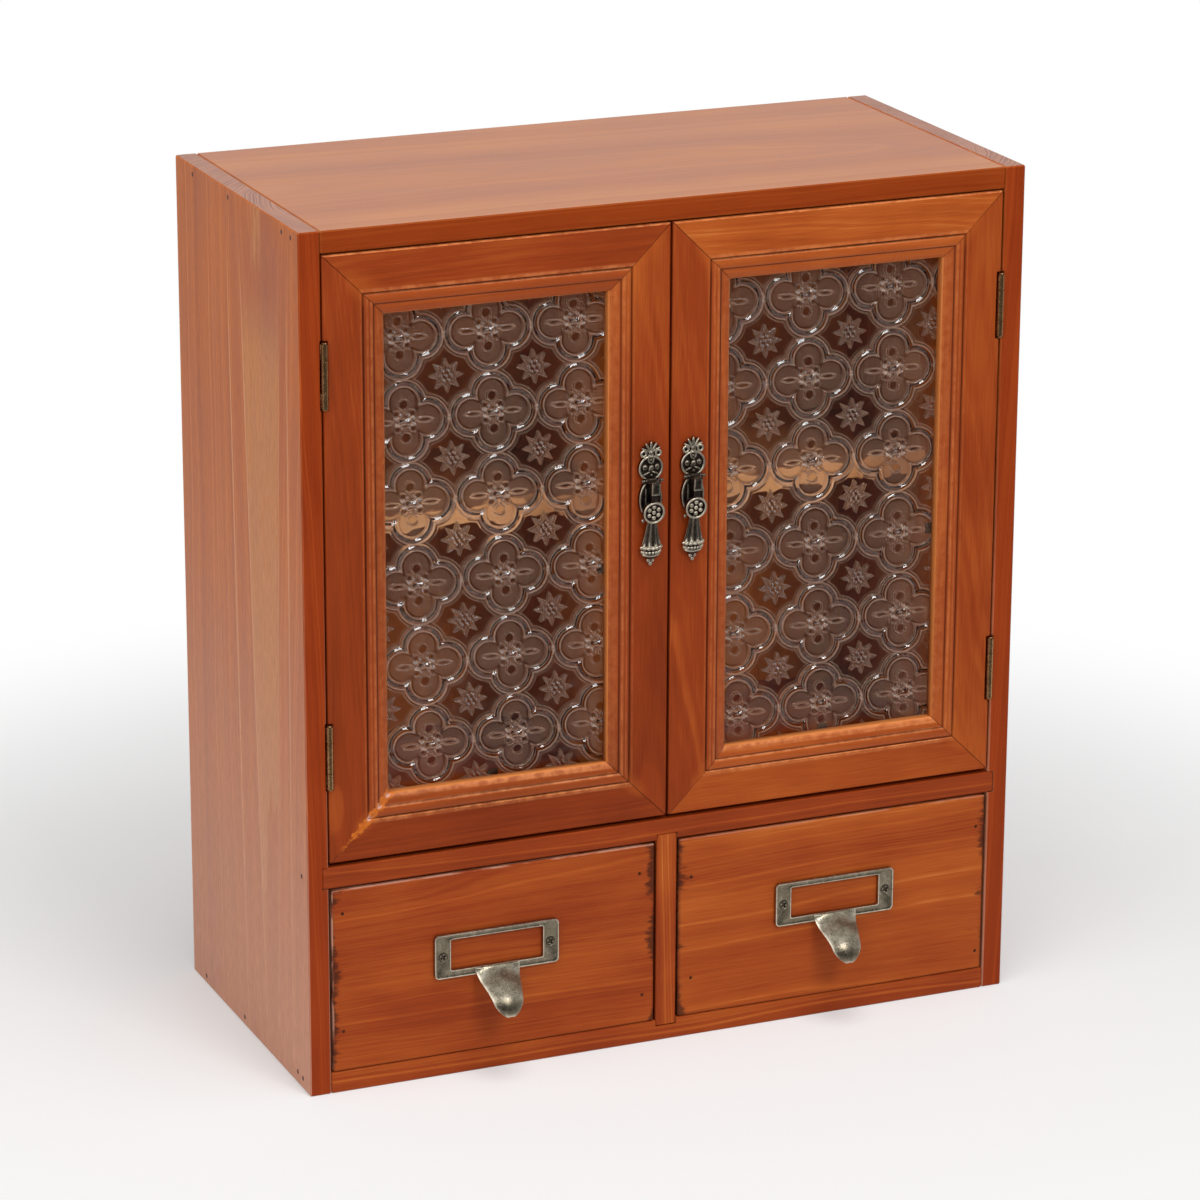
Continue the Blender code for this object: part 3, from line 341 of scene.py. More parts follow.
def panel_figure_and_painted_light(from_edge=None, painted_sheen=0.0):
    """An outer board: its lacquer shines on top, and its front edge is darkened against its broad
    faces, a painted shade.

    from_edge is None for the top. For a side it gives the way across the panel, as the sign and
    start of a distance in millimetres, along which the figure of its broad face is laid out.
    painted_sheen is how far the side is painted paler towards the bottom, a painted reflection of
    the floor.
    """
    def marks(finish, colour, place, fibre, normal):
        x, y, z = place
        # Painted shade: faces turned to the front are darkened against the broad faces.
        front = normal[1].size().rise(0.5, 0.8)
        colour = finish.darken(front, colour, (0.60, 0.30, 0.14))
        gloss = normal[2].rise(0.8, 0.95) * 0.5
        if not from_edge:
            return colour, fibre * 0, gloss
        broad = normal[0].size().rise(0.5, 0.8)
        across = y * from_edge[0] + from_edge[1]
        down = z * -1 + HEIGHT
        ragged = finish.noise(across / 5, x, z / 34, 3.0, 0.6)
        left = across - down * 0.045 - 25.5 + ragged * 2
        right = down * -0.055 - across + 79
        tip = across.ridge(59, 7)
        foot = z - 122 + tip * 52 + (ragged - 0.5) * 60
        flame = left.rise(0, 1.8) * right.rise(0, 1.2) * foot.rise(0, 5) * down.rise(30, 75)
        spikes = (across - 55).size().fall(4, 8) * down.fall(20, 34) * ragged.rise(0.4, 0.6)
        mottle = finish.noise(across / 1.1, x, z / 6, 3.0, 0.7)
        cloud = ((across - 42) / 34).hypot((down - 34) / 42).fall(0.4, 1.1) * ragged
        colour = finish.blend(cloud * broad * 0.7, colour, (0.34, 0.095, 0.05))
        colour = finish.blend((flame * (mottle * 0.9 + 0.02) + spikes * 0.5) * broad, colour,
                              (0.60, 0.28, 0.10))
        pale = finish.veins(across, down, ((0.028, 95.6, 1.1, 0.8), (-0.018, 15.5, 1.3, 0.6)))
        pale = pale + right.ridge(0, 1.1) * 0.8 + left.ridge(0, 0.9) * 0.5
        pale = pale * down.rise(0, 90) * (1 - down.rise(300, 400) * 0.6)
        colour = finish.blend((pale * broad).least(1) * 0.7, colour, (0.70, 0.38, 0.19))
        dark = finish.veins(across, down, ((0.016, 108.5, 0.6, 1), (0.014, 114.5, 0.8, 1),
                                           (0.012, 119.0, 0.6, 1), (0.03, 99, 0.7, 1)))
        dark = dark * down.rise(20, 80) * down.fall(240, 330) * (fibre + 0.2)
        colour = finish.blend((dark * broad).least(1) * 0.6, colour, (0.27, 0.075, 0.03))
        # Painted sheen: the side is painted paler towards the bottom, a painted reflection of the
        # floor.
        low = z.fall(-60, HEIGHT - 60) * broad * painted_sheen
        colour = finish.blend(low, colour, (0.61, 0.36, 0.27))
        brushed = finish.noise(across * 0.9, x, z / 9, 3.0, 0.7).rise(0.38, 0.62)
        colour = finish.darken(brushed * broad * 0.8, colour, (0.86, 0.80, 0.74))
        return colour, pale * 0.6 + mottle * 0.5, gloss
    return marks


def shelf_painted_shade(finish, colour, place, fibre, normal):
    """Painted light on a shelf: its broad faces are darkened as painted shade, so that its front
    edge, in the shelf's lightened tones, reads as lit.
    """
    broad = normal[2].size().rise(0.5, 0.8)
    return finish.darken(broad, colour, (0.44, 0.32, 0.24)), fibre * 0, 0.0


def end_wear_and_shade(low_x, high_x, low_z, high_z, left_edge_scuffed_and_lit):
    """Wear and painted light of a drawer front: dark rubbed into both ends, painted shade along its
    ends and bottom edge, and top and left edges that are scuffed and painted with a highlight.
    """
    def marks(finish, colour, place, fibre, normal):
        x, y, z = place
        wood = bpy.context.scene.cabinet_wood
        ragged = finish.noise(x / 9, y / 4, z / 2.2, 4.0, 0.7)
        cloud = finish.noise(x / 20, y / 20 + 5, z / 24, 2.0)
        from_end = x.within(low_x, high_x)
        grime = ((6.0 - from_end) * 0.075 + ragged * 1.1 + (cloud - 0.5) * 1.8).rise(0.84, 1.12)
        grime = grime * from_end.fall(5, 17)
        colour = finish.blend(grime * 0.8, colour, tuple(wood.grime))
        # The top and left edges are paler: scuffs, and a painted highlight where they catch the
        # light.
        edge = (z - high_z).size()
        if left_edge_scuffed_and_lit:
            edge = edge.least((x - low_x).size())
        scuff = finish.noise(x / 16, y / 3, z / 16, 4.0, 0.6)
        scuffed_and_lit_edge = edge.fall(0.3, 0.8) * scuff.rise(0.36, 0.56)
        # Painted shade along the ends and the bottom edge, in the dark rub's colour.
        shade = from_end.least((z - low_z).size()).fall(0.2, 1.6) * 0.35
        colour = finish.blend(shade, colour, tuple(wood.grime))
        colour = finish.blend(scuffed_and_lit_edge * (0.75 if left_edge_scuffed_and_lit else 0.35), colour, (0.55, 0.29, 0.20))
        return colour, fibre * 0, 0.0
    return marks


def member_marks_and_painted_light(side, member, edges):
    """A door member's marks: painted shade in its moulding grooves, painted highlights on its beads
    over lumpy lacquer, its wall at the glass painted lit, and glue at a mitre.
    """
    low_x, high_x, low_z, high_z = edges
    upright = "stile" in member
    glued = side == "left" and member in ("hinge_stile", "bottom_rail")

    def marks(finish, colour, place, fibre, normal):
        x, y, z = place
        wood = bpy.context.scene.cabinet_wood
        from_x, from_z = x.within(low_x, high_x), z.within(low_z, high_z)
        inward = from_x if upright else from_z
        ragged = finish.noise(x / 5, y, z / 5, 4.0, 0.65)
        lumps = finish.noise(x / 1.6, y / 1.6, z / 1.6, 3.0)
        worn = finish.noise(x / 4, y / 3, z / 4, 3.0).rise(0.36, 0.62)
        mitre = (from_x - from_z).size()
        beads = inward.rise(*BEAD)
        # Painted light: the beads are lightened, more on the rails than on the stiles. Painted
        # highlights follow: thin lines on the stiles' moulding, and every upward face of a rail,
        # broken up by lumps and wear.
        colour = finish.blend(beads * (0.10 if upright else 0.35), colour, tuple(wood.light))
        if upright:
            painted_bead_highlight = sum(inward.ridge(at, half) * strength for at, half, strength in (
                (20.4, 0.6, 0.5), (22.3, 0.8, 0.8), (26.0, 2.4, 0.45), (28.2, 0.9, 0.5),
                (17.4, 0.6, 0.35)))
        else:
            painted_bead_highlight = normal[2].rise(0.12, 0.6) + inward.ridge(17.4, 1.3) * 0.55
        painted_bead_highlight = (painted_bead_highlight * (lumps * 0.8 + 0.35) * (worn * 0.6 + 0.4)).least(1)
        colour = finish.blend(painted_bead_highlight * (0.7 if upright else 0.95), colour,
                              (0.62, 0.20, 0.055) if upright else (0.74, 0.26, 0.09))
        # Painted shade in the moulding grooves, and the dark of the mitre joint, both in the dark
        # rub's colour.
        groove = inward.ridge(GROOVE, 0.6) + inward.ridge(INNER_GROOVE, 0.5)
        dark = (groove * 0.8).most(mitre.fall(0.10, 0.40) * 0.5)
        colour = finish.blend(dark * (fibre + 0.4), colour, tuple(wood.grime))
        # Painted light: the wall at the glass's edge is lightened to a lit orange.
        colour = finish.blend(inward.rise(*WALL) * 0.75, colour, (0.80, 0.27, 0.07))
        inner = mitre.fall(1.0, 8.0) * inward.ridge(15.5, 6.0)
        if side == "left" and member == "top_rail":
            inner = (inward.ridge(13.5, 7.0) + 0.1) * (x - low_x).fall(40, 60)
            inner = inner * mitre.fall(3.0, 16.0)
        colour = finish.blend(inner * (ragged + 0.2) * 0.6, colour, tuple(wood.light))
        if side == "left" and member == "hinge_stile":
            patch = ((x - low_x - 3.0) / 4.5).hypot((z - low_z - 25) / 15) + (ragged - 0.5) * 0.9
            colour = finish.blend(patch.fall(0.6, 1.0) * 0.35, colour, tuple(wood.light))
        if glued:
            near = (x - low_x).fall(30, 34) * (z - low_z).fall(30, 34)
            width = (from_x - 4) * 0.09 + 0.9 + (ragged + lumps - 1) * 6
            smear = (mitre - width).fall(-0.7, 0.5) * from_x.rise(4, 9) * near
            colour = finish.blend(smear * (lumps * 0.7 + 0.35), colour, (0.66, 0.17, 0.018))
            spots = inward.ridge(18.4, 1.0) + inward.ridge(23.3, 0.8) + inward.ridge(27.8, 0.9)
            spots = spots * mitre.fall(0.9, 2.0) * near * (lumps * 1.2).least(1)
            colour = finish.blend(spots.least(1) * 0.85, colour, (0.78, 0.62, 0.58))
        gloss = beads * (1 - groove.least(1)) * 0.14
        return colour, beads * lumps * (1.2 if upright else 3.5), gloss
    return marks


def antique_metal(name, recess, field, worn, rough):
    """Dark-plated metal, rubbed bright where its wear attribute is high."""
    finish = Finish(name)
    x, y, z = finish.millimetres()
    wear = finish.node("ShaderNodeAttribute", output="Fac", attribute_name="wear")
    cloud = finish.noise(x * 0.30, y * 0.30, z * 0.30, 4.0, 0.6)
    grit = finish.noise(x * 1.7, y * 1.7, z * 1.7, 3.0, 0.6)
    tone = wear * 0.5 + 0.5 + (cloud - 0.5) * 0.55 + (grit - 0.5) * 0.60
    colour = finish.node("ShaderNodeValToRGB", {0: tone},
                         stops=[(0.05, recess), (0.50, field), (1.0, worn)])
    finish.set(
        Base_Color=colour, Metallic=1.0,
        Roughness=(grit - 0.5) * 0.30 + (cloud - 0.5) * 0.15 + rough,
        Normal=finish.bump(grit, 0.00010, 0.6),
    )
    return finish.material


def embossed_glass(name, anchor, pitch, lean):
    """Clear glass embossed with rows of quatrefoils and star flowers between them."""
    glass = bpy.context.scene.cabinet_glass
    finish = Finish(name)
    x, y, z = finish.millimetres()
    across, up = pitch
    row = (z - anchor[1]) / up
    column = (x - anchor[0] + row * lean) / across
    sway = finish.noise(x / 9, y, z / 9, 1.0) - 0.5
    u = ((column - column.math("ROUND")) * across).size()
    v = ((row - row.math("ROUND")) * up).size()
    lobe = across * 0.248
    inside = (u - lobe).hypot(v).least(u.hypot(v - (up / 2 - lobe))) - lobe
    roll = (1 - ((inside + 1.55) / 1.45).size()).most(0)
    lines = inside.ridge(-0.1, 0.45) + inside.ridge(-3.0, 0.45) + inside.ridge(1.3, 0.5) * 0.45
    gutter = inside.ridge(0.65, 0.5) + inside.ridge(-3.75, 0.45) + inside.ridge(-2.2, 0.6) * 0.4
    disc = u.hypot(v - up * 0.20)
    spear = ((u - across * 0.225) / 3.8).hypot(v / 1.15)
    scroll = (u - 3.6).hypot(v - 3.4)
    plain = disc.rise(2.5, 2.7) * spear.rise(1.0, 1.15) * scroll.rise(2.1, 2.3)
    field = inside.fall(-4.6, -4.1) * plain * u.hypot(v).rise(2.5, 3.5)
    dots = (((u + v) * 2.25).math("SINE") * ((u - v) * 2.25).math("SINE")).rise(0.45, 0.85) * field
    leaves = disc.ridge(2.5, 0.4) * 0.8 + spear.ridge(0.95, 0.28) + scroll.ridge(1.7, 0.4) * 0.8
    leaves = leaves + u.ridge(0.5, 0.4) * (v.rise(2.2, 3.0) - v.rise(3.8, 5.2)) * 0.7
    beads = u.hypot(v).ridge(0, 0.8) + (u - 4.1).hypot(v - 1.3).ridge(0, 0.9)
    beads = beads + (u - 1.7).hypot(v - 2.9).ridge(0, 0.8) * 0.7
    beads = beads + (u - across / 2).hypot(v).ridge(0.9, 0.5) * 0.3
    flower_u, flower_v = across / 2 - u, up / 2 - v
    spread = flower_u.hypot(flower_v)
    turn = flower_v.math("ARCTAN2", flower_u)
    point = (turn * 4).math("SINE").size()
    petal = spread + point * 3.6 - 8.0
    flower = petal.ridge(-0.3, 0.5) + petal.ridge(-1.9, 0.4) * 0.7
    flower = flower + (point * spread).ridge(0, 0.6) * spread.ridge(5.0, 2.2) * 0.8
    pips = spread.ridge(2.4, 0.7) * ((turn * 6).math("COSINE")).most(0) + spread.ridge(0, 0.8)
    pale = lines * 1.0 + dots * 1.8 + leaves * 0.9 + flower * 0.8
    shade = gutter * 0.8 + disc.ridge(1.5, 1.2) * 0.15 + spear.ridge(0.3, 0.5) * 0.5
    shade = shade + field * 0.12 + petal.ridge(-1.1, 0.5) * 0.8 + petal.ridge(0.5, 0.5) * 0.5
    relief = (
        roll * 1.96 + lines * 0.15 + leaves * 0.25 + beads * 1.2
        + flower * 0.3 + pips * 0.7 + sway * 1.0
    )
    tint = finish.blend(shade.least(1) * 0.6, tuple(glass.tint), (0.22, 0.12, 0.08))
    surface = finish.bump(relief, glass.relief)
    clear = {"Base Color": tint, "Roughness": 0.04, "IOR": 1.45, "Transmission Weight": 1.0,
             "Normal": surface}
    for socket, value in clear.items():
        finish.feed(finish.shader.inputs[socket], value)
    inner_side = finish.node("ShaderNodeBsdfPrincipled", {**clear, "Specular IOR Level": 0.0})
    shader = finish.mixed(finish.node("ShaderNodeNewGeometry", output="Backfacing"),
                          finish.shaded, inner_side)
    # Painted glints: the beads and pips get a whiter film, in place of the glints they catch.
    painted_glint = (beads + pips).least(1)
    milky = finish.blend(painted_glint, tuple(glass.painted_sheen), (0.95, 0.90, 0.85))
    painted_sheen = finish.node("ShaderNodeBsdfPrincipled", {
        "Base Color": milky, "Roughness": 0.45, "Specular IOR Level": 0.2,
    })
    # The pale film on the embossed lines is a painted highlight, for the light those lines catch.
    misty = finish.mixed((pale * 0.16 + painted_glint * 0.20).least(0.5), shader, painted_sheen)
    shadow, soft = finish.rays("Is Shadow Ray", "Is Diffuse Ray")
    through = finish.node("ShaderNodeBsdfTransparent", {"Color": (0.96, 0.96, 0.95)})
    finish.show(finish.mixed(shadow.most(soft), misty, through))
    return finish.material


def plain_finish(name, colour, rough, metallic=0.0):
    """Moulded plastic or plated steel, with a faint mottle."""
    finish = Finish(name)
    x, y, z = finish.millimetres()
    mottle = finish.noise(x * 0.8, y * 0.8, z * 0.8, 3.0)
    shaded = finish.blend(mottle, tuple(c * 0.7 for c in colour), tuple(c * 1.25 for c in colour))
    finish.set(Base_Color=shaded, Metallic=metallic, Roughness=(mottle - 0.5) * 0.2 + rough,
               Normal=finish.bump(mottle, 0.00005, 0.4))
    return finish.material


def activate(obj):
    bpy.ops.object.select_all(action="DESELECT")
    obj.select_set(True)
    bpy.context.view_layer.objects.active = obj


def add(shape, at, turn=(0, 0, 0), scale=(1, 1, 1), **settings):
    """Adds a primitive with nothing else selected. Its place and size are in millimetres."""
    bpy.ops.object.select_all(action="DESELECT")
    for name in ("radius", "radius1", "radius2", "depth", "size", "major_radius", "minor_radius"):
        if name in settings:
            settings[name] *= MM
    getattr(bpy.ops.mesh, f"primitive_{shape}_add")(
        location=Vector(at) * MM, rotation=turn, **settings
    )
    obj = bpy.context.object
    obj.scale = scale
    bpy.ops.object.transform_apply(location=True, rotation=True, scale=True)
    return obj


def pick(obj, kind, test):
    """In edit mode, selects only the verts or faces that pass the test."""
    mesh = bmesh.from_edit_mesh(obj.data)
    bpy.ops.mesh.select_all(action="DESELECT")
    for item in getattr(mesh, kind):
        item.select_set(test(item))
    mesh.select_flush_mode()
    bmesh.update_edit_mesh(obj.data)


def open_edit(obj, mode="VERT"):
    activate(obj)
    bpy.ops.object.mode_set(mode="EDIT")
    bpy.ops.mesh.select_mode(type=mode)


def close_edit():
    bpy.ops.object.mode_set(mode="OBJECT")


def close_outward():
    """Turns every face of the open piece outward and closes it."""
    bpy.ops.mesh.select_all(action="SELECT")
    bpy.ops.mesh.normals_make_consistent(inside=False)
    close_edit()


def extrude(across, deep, up):
    """Extrudes the selection by a length in millimetres."""
    bpy.ops.mesh.extrude_region_move(
        TRANSFORM_OT_translate={"value": (across * MM, deep * MM, up * MM)}
    )


def hollow_front(obj, rim, depth):
    """Sinks the front face of a piece inside a rim."""
    open_edit(obj, "FACE")
    pick(obj, "faces", lambda face: face.normal.y < -0.9)
    bpy.ops.mesh.inset(thickness=rim * MM)
    bpy.ops.transform.translate(value=(0, depth * MM, 0))
    close_edit()


def toward(azimuth, elevation):
    """The direction of a place that is seen from the cabinet at two angles in radians."""
    return Vector((math.sin(azimuth) * math.cos(elevation),
                   -math.cos(azimuth) * math.cos(elevation), math.sin(elevation)))


def wear(obj, amount):
    """Marks how rubbed a part of a metal piece is, from -1 in a recess to 1 on a high spot."""
    layer = obj.data.attributes.get("wear") or obj.data.attributes.new("wear", "FLOAT", "POINT")
    for vertex, value in zip(obj.data.vertices, layer.data):
        value.value = amount(vertex.co / MM) if callable(amount) else amount
    return obj


def join(name, pieces):
    """Joins pieces into one object."""
    bpy.ops.object.select_all(action="DESELECT")
    for one in pieces:
        one.select_set(True)
    bpy.context.view_layer.objects.active = pieces[0]
    if len(pieces) > 1:
        bpy.ops.object.join()
    joined = bpy.context.object
    joined.name = joined.data.name = name
    return joined


def modify(obj, kind, **settings):
    """Adds a modifier and applies it."""
    activate(obj)
    step = obj.modifiers.new(kind.lower(), kind)
    for setting, value in settings.items():
        setattr(step, setting, value)
    bpy.ops.object.modifier_apply(modifier=step.name)
    return obj


def carve(obj, tool):
    """Cuts a tool out of a piece and removes the tool."""
    modify(obj, "BOOLEAN", object=tool, operation="DIFFERENCE", solver="EXACT")
    bpy.data.objects.remove(tool)


def soften(obj, width):
    """Eases the edges of a piece."""
    return modify(obj, "BEVEL", width=width * MM, segments=2, limit_method="ANGLE",
                  angle_limit=math.radians(35))


def settle(obj, name, body, material, angle=40):
    """Names a finished piece, smooths it, gives it its finish and hangs it on its body."""
    activate(obj)
    bpy.ops.object.transform_apply(location=True, rotation=True, scale=True)
    bpy.ops.object.shade_smooth_by_angle(angle=math.radians(angle))
    obj.name = obj.data.name = name
    obj.data.materials.clear()
    obj.data.materials.append(material)
    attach(obj, body)
    return obj


def refined(node, name, body, material, bevel=0.0, angle=40):
    """A merged and eased copy of a CAD node that stands for it."""
    copy = bpy.data.objects.new(name, NODES[node].data.copy())
    bpy.context.scene.collection.objects.link(copy)
    open_edit(copy)
    bpy.ops.mesh.select_all(action="SELECT")
    bpy.ops.mesh.remove_doubles(threshold=0.00001)
    if bevel:
        bpy.ops.mesh.dissolve_limited(angle_limit=math.radians(1))
    close_edit()
    if bevel:
        soften(copy, bevel)
    settle(copy, name, body, material, angle)
    modify(copy, "WEIGHTED_NORMAL", keep_sharp=True, weight=100)
    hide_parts(node)
    return copy


def fit_pair(piece, shift, name, body, material, node=None, angle=40):
    """Fits a piece on the left, and its copy, moved by shift, on the right."""
    for side, one in (("left", piece), ("right", copied(piece, shift))):
        settle(one, f"{side}_{name}", f"{side}_{body}", material, angle)
        if node:
            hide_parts(f"{side}_{node}")


def apart(node):
    """How far the right one of a pair of nodes is from the left one, in millimetres."""
    return (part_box(f"right_{node}")[0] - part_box(f"left_{node}")[0]) / MM


def dress(node, material):
    """Gives a CAD node its finish."""
    slots = NODES[node].material_slots
    if slots:
        for slot in slots:
            slot.material = material
    else:
        NODES[node].data.materials.append(material)


def put(obj, at):
    """Moves a piece by a length in millimetres, and applies its place and turn."""
    obj.location = Vector(at) * MM
    activate(obj)
    bpy.ops.object.transform_apply(location=True, rotation=True, scale=True)
    return obj


def copied(obj, shift=(0, 0, 0), turn=(0, 0, 0)):
    """A copy with its own mesh, turned and then moved by shift millimetres."""
    copy = obj.copy()
    copy.data = obj.data.copy()
    bpy.context.scene.collection.objects.link(copy)
    copy.rotation_euler = turn
    return put(copy, shift)


def rounded_slab(width, height, corner, near, far, centre):
    """A slab with rounded corners, facing the front, from depth near to depth far."""
    obj = add("plane", (0, 0, 0), size=1)
    for vertex in obj.data.vertices:
        vertex.co = Vector((vertex.co.x * width, 0, vertex.co.y * height))
    open_edit(obj)
    bpy.ops.mesh.select_all(action="SELECT")
    bpy.ops.mesh.bevel(offset=corner * MM, segments=5, affect="VERTICES")
    extrude(0, far - near, 0)
    close_outward()
    return put(obj, (centre[0], near, centre[1]))


def stacked(rings, sides):
    """A turned form: a circle, extruded and resized ring by ring. Rings are (radius, height)."""
    obj = add("circle", (0, 0, 0), radius=rings[0][0], vertices=sides, fill_type="NGON")
    open_edit(obj)
    bpy.ops.mesh.select_all(action="SELECT")
    bpy.ops.transform.translate(value=(0, 0, rings[0][1] * MM))
    for (radius, height), (next_radius, next_height) in zip(rings, rings[1:]):
        extrude(0, 0, next_height - height)
        ratio = next_radius / radius
        bpy.ops.transform.resize(value=(ratio, ratio, 1))
    close_outward()
    return obj


def ball(at, radius, scale=(1, 1, 1), segments=12, turn=0.0):
    """A ball stretched about its own centre, then turned in the plane of the front."""
    obj = add("uv_sphere", (0, 0, 0), scale=scale, radius=radius, segments=segments,
              ring_count=segments // 2 + 1)
    obj.rotation_euler.y = turn
    return put(obj, at)


def ring(at, half_width, half_height, wire, segments=40):
    """A ring of wire that lies on a face towards the front."""
    obj = add("torus", (0, 0, 0), turn=(math.pi / 2, 0, 0), major_radius=half_width,
              minor_radius=wire, major_segments=segments, minor_segments=10)
    for vertex in obj.data.vertices:
        planar = Vector((vertex.co.x, vertex.co.z))
        outer = planar.normalized() * half_width * MM
        vertex.co.z = outer.y * half_height / half_width + (planar - outer).y
    return put(obj, at)


class CabinetStep(bpy.types.Operator):
    """Shared by the steps that dress the cabinet."""

    bl_options = {"REGISTER", "UNDO"}

    def execute(self, context):
        self.make(context.scene)
        return {"FINISHED"}


class CABINET_OT_case(CabinetStep, bpy.types.Operator):
    """Stains the boards of the case"""

    bl_idname = "cabinet.case"
    bl_label = "Case boards"

    def make(self, scene):
        # Painted light: the top's tones are its stain lightened, partly for the stronger light from
        # above.
        top_tones_with_painted_light = [(0.30, 0.065, 0.010), (0.43, 0.118, 0.017), (0.53, 0.18, 0.036),
                      (0.64, 0.28, 0.09)]
        side_face = [(0.32, 0.066, 0.010), (0.48, 0.122, 0.020), (0.58, 0.17, 0.036),
                     (0.66, 0.26, 0.072)]
        # Painted light: the inside boards' tones are lightened, in place of light that doesn't
        # reach them through the glass.
        inner = [(0.34, 0.09, 0.015), (0.54, 0.155, 0.026), (0.66, 0.23, 0.048), (0.78, 0.36, 0.11)]
        # Painted light: the shelves' tones are lightened, so that their front edges read as lit
        # through the glass.
        pale = [(0.70, 0.26, 0.09), (0.92, 0.42, 0.17), (0.95, 0.52, 0.25), (0.95, 0.64, 0.38)]
        side = dict(tones=side_face, rough=0.42, streaks=0.6, contrast=1.5, upright_face="side")
        shelf = dict(shift=0.12, rough=0.55, tones=pale, marks=shelf_painted_shade)
        boards = (
            ("top_panel", "stained pine top", "X", (330, -12), (0.02, 0.03), 1.3,
             dict(shift=0.02, streaks=0.3, contrast=1.1, rough=0.38, tones=top_tones_with_painted_light,
                  marks=panel_figure_and_painted_light())),
            ("left_side_panel", "stained pine left side", "Z", (-30, -100), (0.02, 0.02), 2.1,
             dict(marks=panel_figure_and_painted_light((1, -FRONT), 0.62), **side)),
            ("right_side_panel", "stained pine right side", "Z", (-10, 96), (0.02, -0.02), 3.7,
             dict(marks=panel_figure_and_painted_light((-1, BACK - 10), 0.55), **side)),
            ("bottom_panel", "stained pine bottom", "X", (-60, -20), (0.02, 0.01), 4.2,
             dict(shift=0.11)),
            ("drawer_shelf", "stained pine drawer shelf", "X", (160, -150), (0.01, 0.0), 5.9,
             dict(shift=-0.06)),
            ("drawer_divider", "stained pine divider", "Z", (-50, -120), (0.01, 0.01), 6.4,
             dict(shift=0.06)),
            ("centre_partition", "stained pine partition", "Z", (60, 10), (0.03, 0.04), 7.7,
             dict(rough=0.5, tones=inner)),
            ("back_panel", "stained plywood back", "Z", (40, 160), (0.06, 0.02), 8.3,
             dict(contrast=0.9, rough=0.5, tones=inner)),
            ("left_shelf", "pale pine left shelf", "X", (200, 60), (0.04, 0.03), 9.2, shelf),
            ("right_shelf", "pale pine right shelf", "X", (200, 60), (0.04, 0.03), 10.6, shelf),
        )
        for node, name, grain, heart, lean, seed, look in boards:
            dress(node, stained_wood(name, grain, heart, lean, seed, **look))


class CABINET_OT_doors(CabinetStep, bpy.types.Operator):
    """Stains the door members and their moulding"""

    bl_idname = "cabinet.doors"
    bl_label = "Door members"

    def make(self, scene):
        # Each member's shift of tone, seed, streaks and fade up the door
        looks = {
            ("left", "hinge_stile"): (-0.07, 11.1, 0.3, 0.0002),
            ("left", "meeting_stile"): (-0.01, 12.7, 0.2, 0.0012),
            ("left", "top_rail"): (0.0, 13.9, 0.2, 0.0),
            ("left", "bottom_rail"): (-0.13, 14.3, 0.2, 0.0),
            ("right", "hinge_stile"): (0.08, 15.8, 0.3, 0.0),
            ("right", "meeting_stile"): (-0.03, 16.5, 0.3, 0.0004),
            ("right", "top_rail"): (0.20, 17.2, 0.7, 0.0),
            ("right", "bottom_rail"): (0.08, 18.6, 0.8, 0.0),
        }
        for (side, member), (shift, seed, streaks, fade) in looks.items():
            node = f"{side}_door_{member}"
            low, high = door_edges(side)
            upright = "stile" in member
            axis = 0 if upright else 2
            middle = sum(corner[axis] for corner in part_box(node)) / 2 / MM
            marks = member_marks_and_painted_light(side, member, (low.x, high.x, low.z, high.z))
            wood = stained_wood(
                f"stained pine {side} {member.replace('_', ' ')}", "Z" if upright else "X",
                (middle + 28 * math.sin(seed), -142), (0.02, 0.03), seed, shift=shift,
                streaks=streaks, contrast=0.9, rough=0.36, marks=marks,
                fade=(250.0 if upright else 0.0, fade),
            )
            moulded = refined(node, f"{side}_door_{member}_moulded", f"{side}_door",
                              wood, angle=30)
            self.round_bead(moulded, axis, (low[axis], high[axis]))

    def round_bead(self, member, axis, edges):
        """Raises the outer bead of the moulding to a fuller round."""
        groove = FRONT + 0.9
        for vertex in member.data.vertices:
            place = vertex.co / MM
            inward = min(abs(place[axis] - edge) for edge in edges)
            if 18.6 < inward < 23.4 and place.y < groove:
                vertex.co.y = (groove - (groove - place.y) * 1.45) * MM


class CABINET_OT_drawers(CabinetStep, bpy.types.Operator):
    """Stains the drawer fronts, with their wear, and the drawer boxes"""

    bl_idname = "cabinet.drawers"
    bl_label = "Drawers"

    def make(self, scene):
        raw = [(0.20, 0.055, 0.018), (0.40, 0.15, 0.05), (0.52, 0.24, 0.10), (0.62, 0.34, 0.17)]
        for side, seed, shift, heart, lean in (
            ("left", 21.3, 0.08, (128, -190), (0.02, 0.02)),
            ("right", 22.8, 0.17, (-12, -150), (-0.06, 0.03)),
        ):
            low, high = (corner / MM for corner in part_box(f"{side}_drawer_front"))
            marks = end_wear_and_shade(low.x, high.x, low.z, high.z, side == "left")
            dress(f"{side}_drawer_front", stained_wood(
                f"stained pine {side} drawer front", "X", heart, lean, seed, shift=shift,
                streaks=0.35, contrast=0.85, rough=0.45, marks=marks,
            ))
            for number, (part, grain) in enumerate((
                ("outer_side", "Y"), ("inner_side", "Y"), ("back", "X"), ("bottom", "X"),
            )):
                dress(f"{side}_drawer_{part}", stained_wood(
                    f"drawer wood {side} {part.replace('_', ' ')}", grain, (140 * SIDES[side], -60),
                    (0.03, 0.05), seed + 1.7 * number + 3, rough=0.6, tones=raw,
                ))


class CABINET_OT_panes(CabinetStep, bpy.types.Operator):
    """Gives the panes their embossed glass"""

    bl_idname = "cabinet.panes"
    bl_label = "Panes"

    def make(self, scene):
        dress("left_door_glass", embossed_glass("embossed glass left", (-123.7, 309.2),
                                                (41.5, 37.8), 2.7))
        dress("right_door_glass", embossed_glass("embossed glass right", (71.8, 308.7),
                                                 (42.3, 39.1), 2.2))


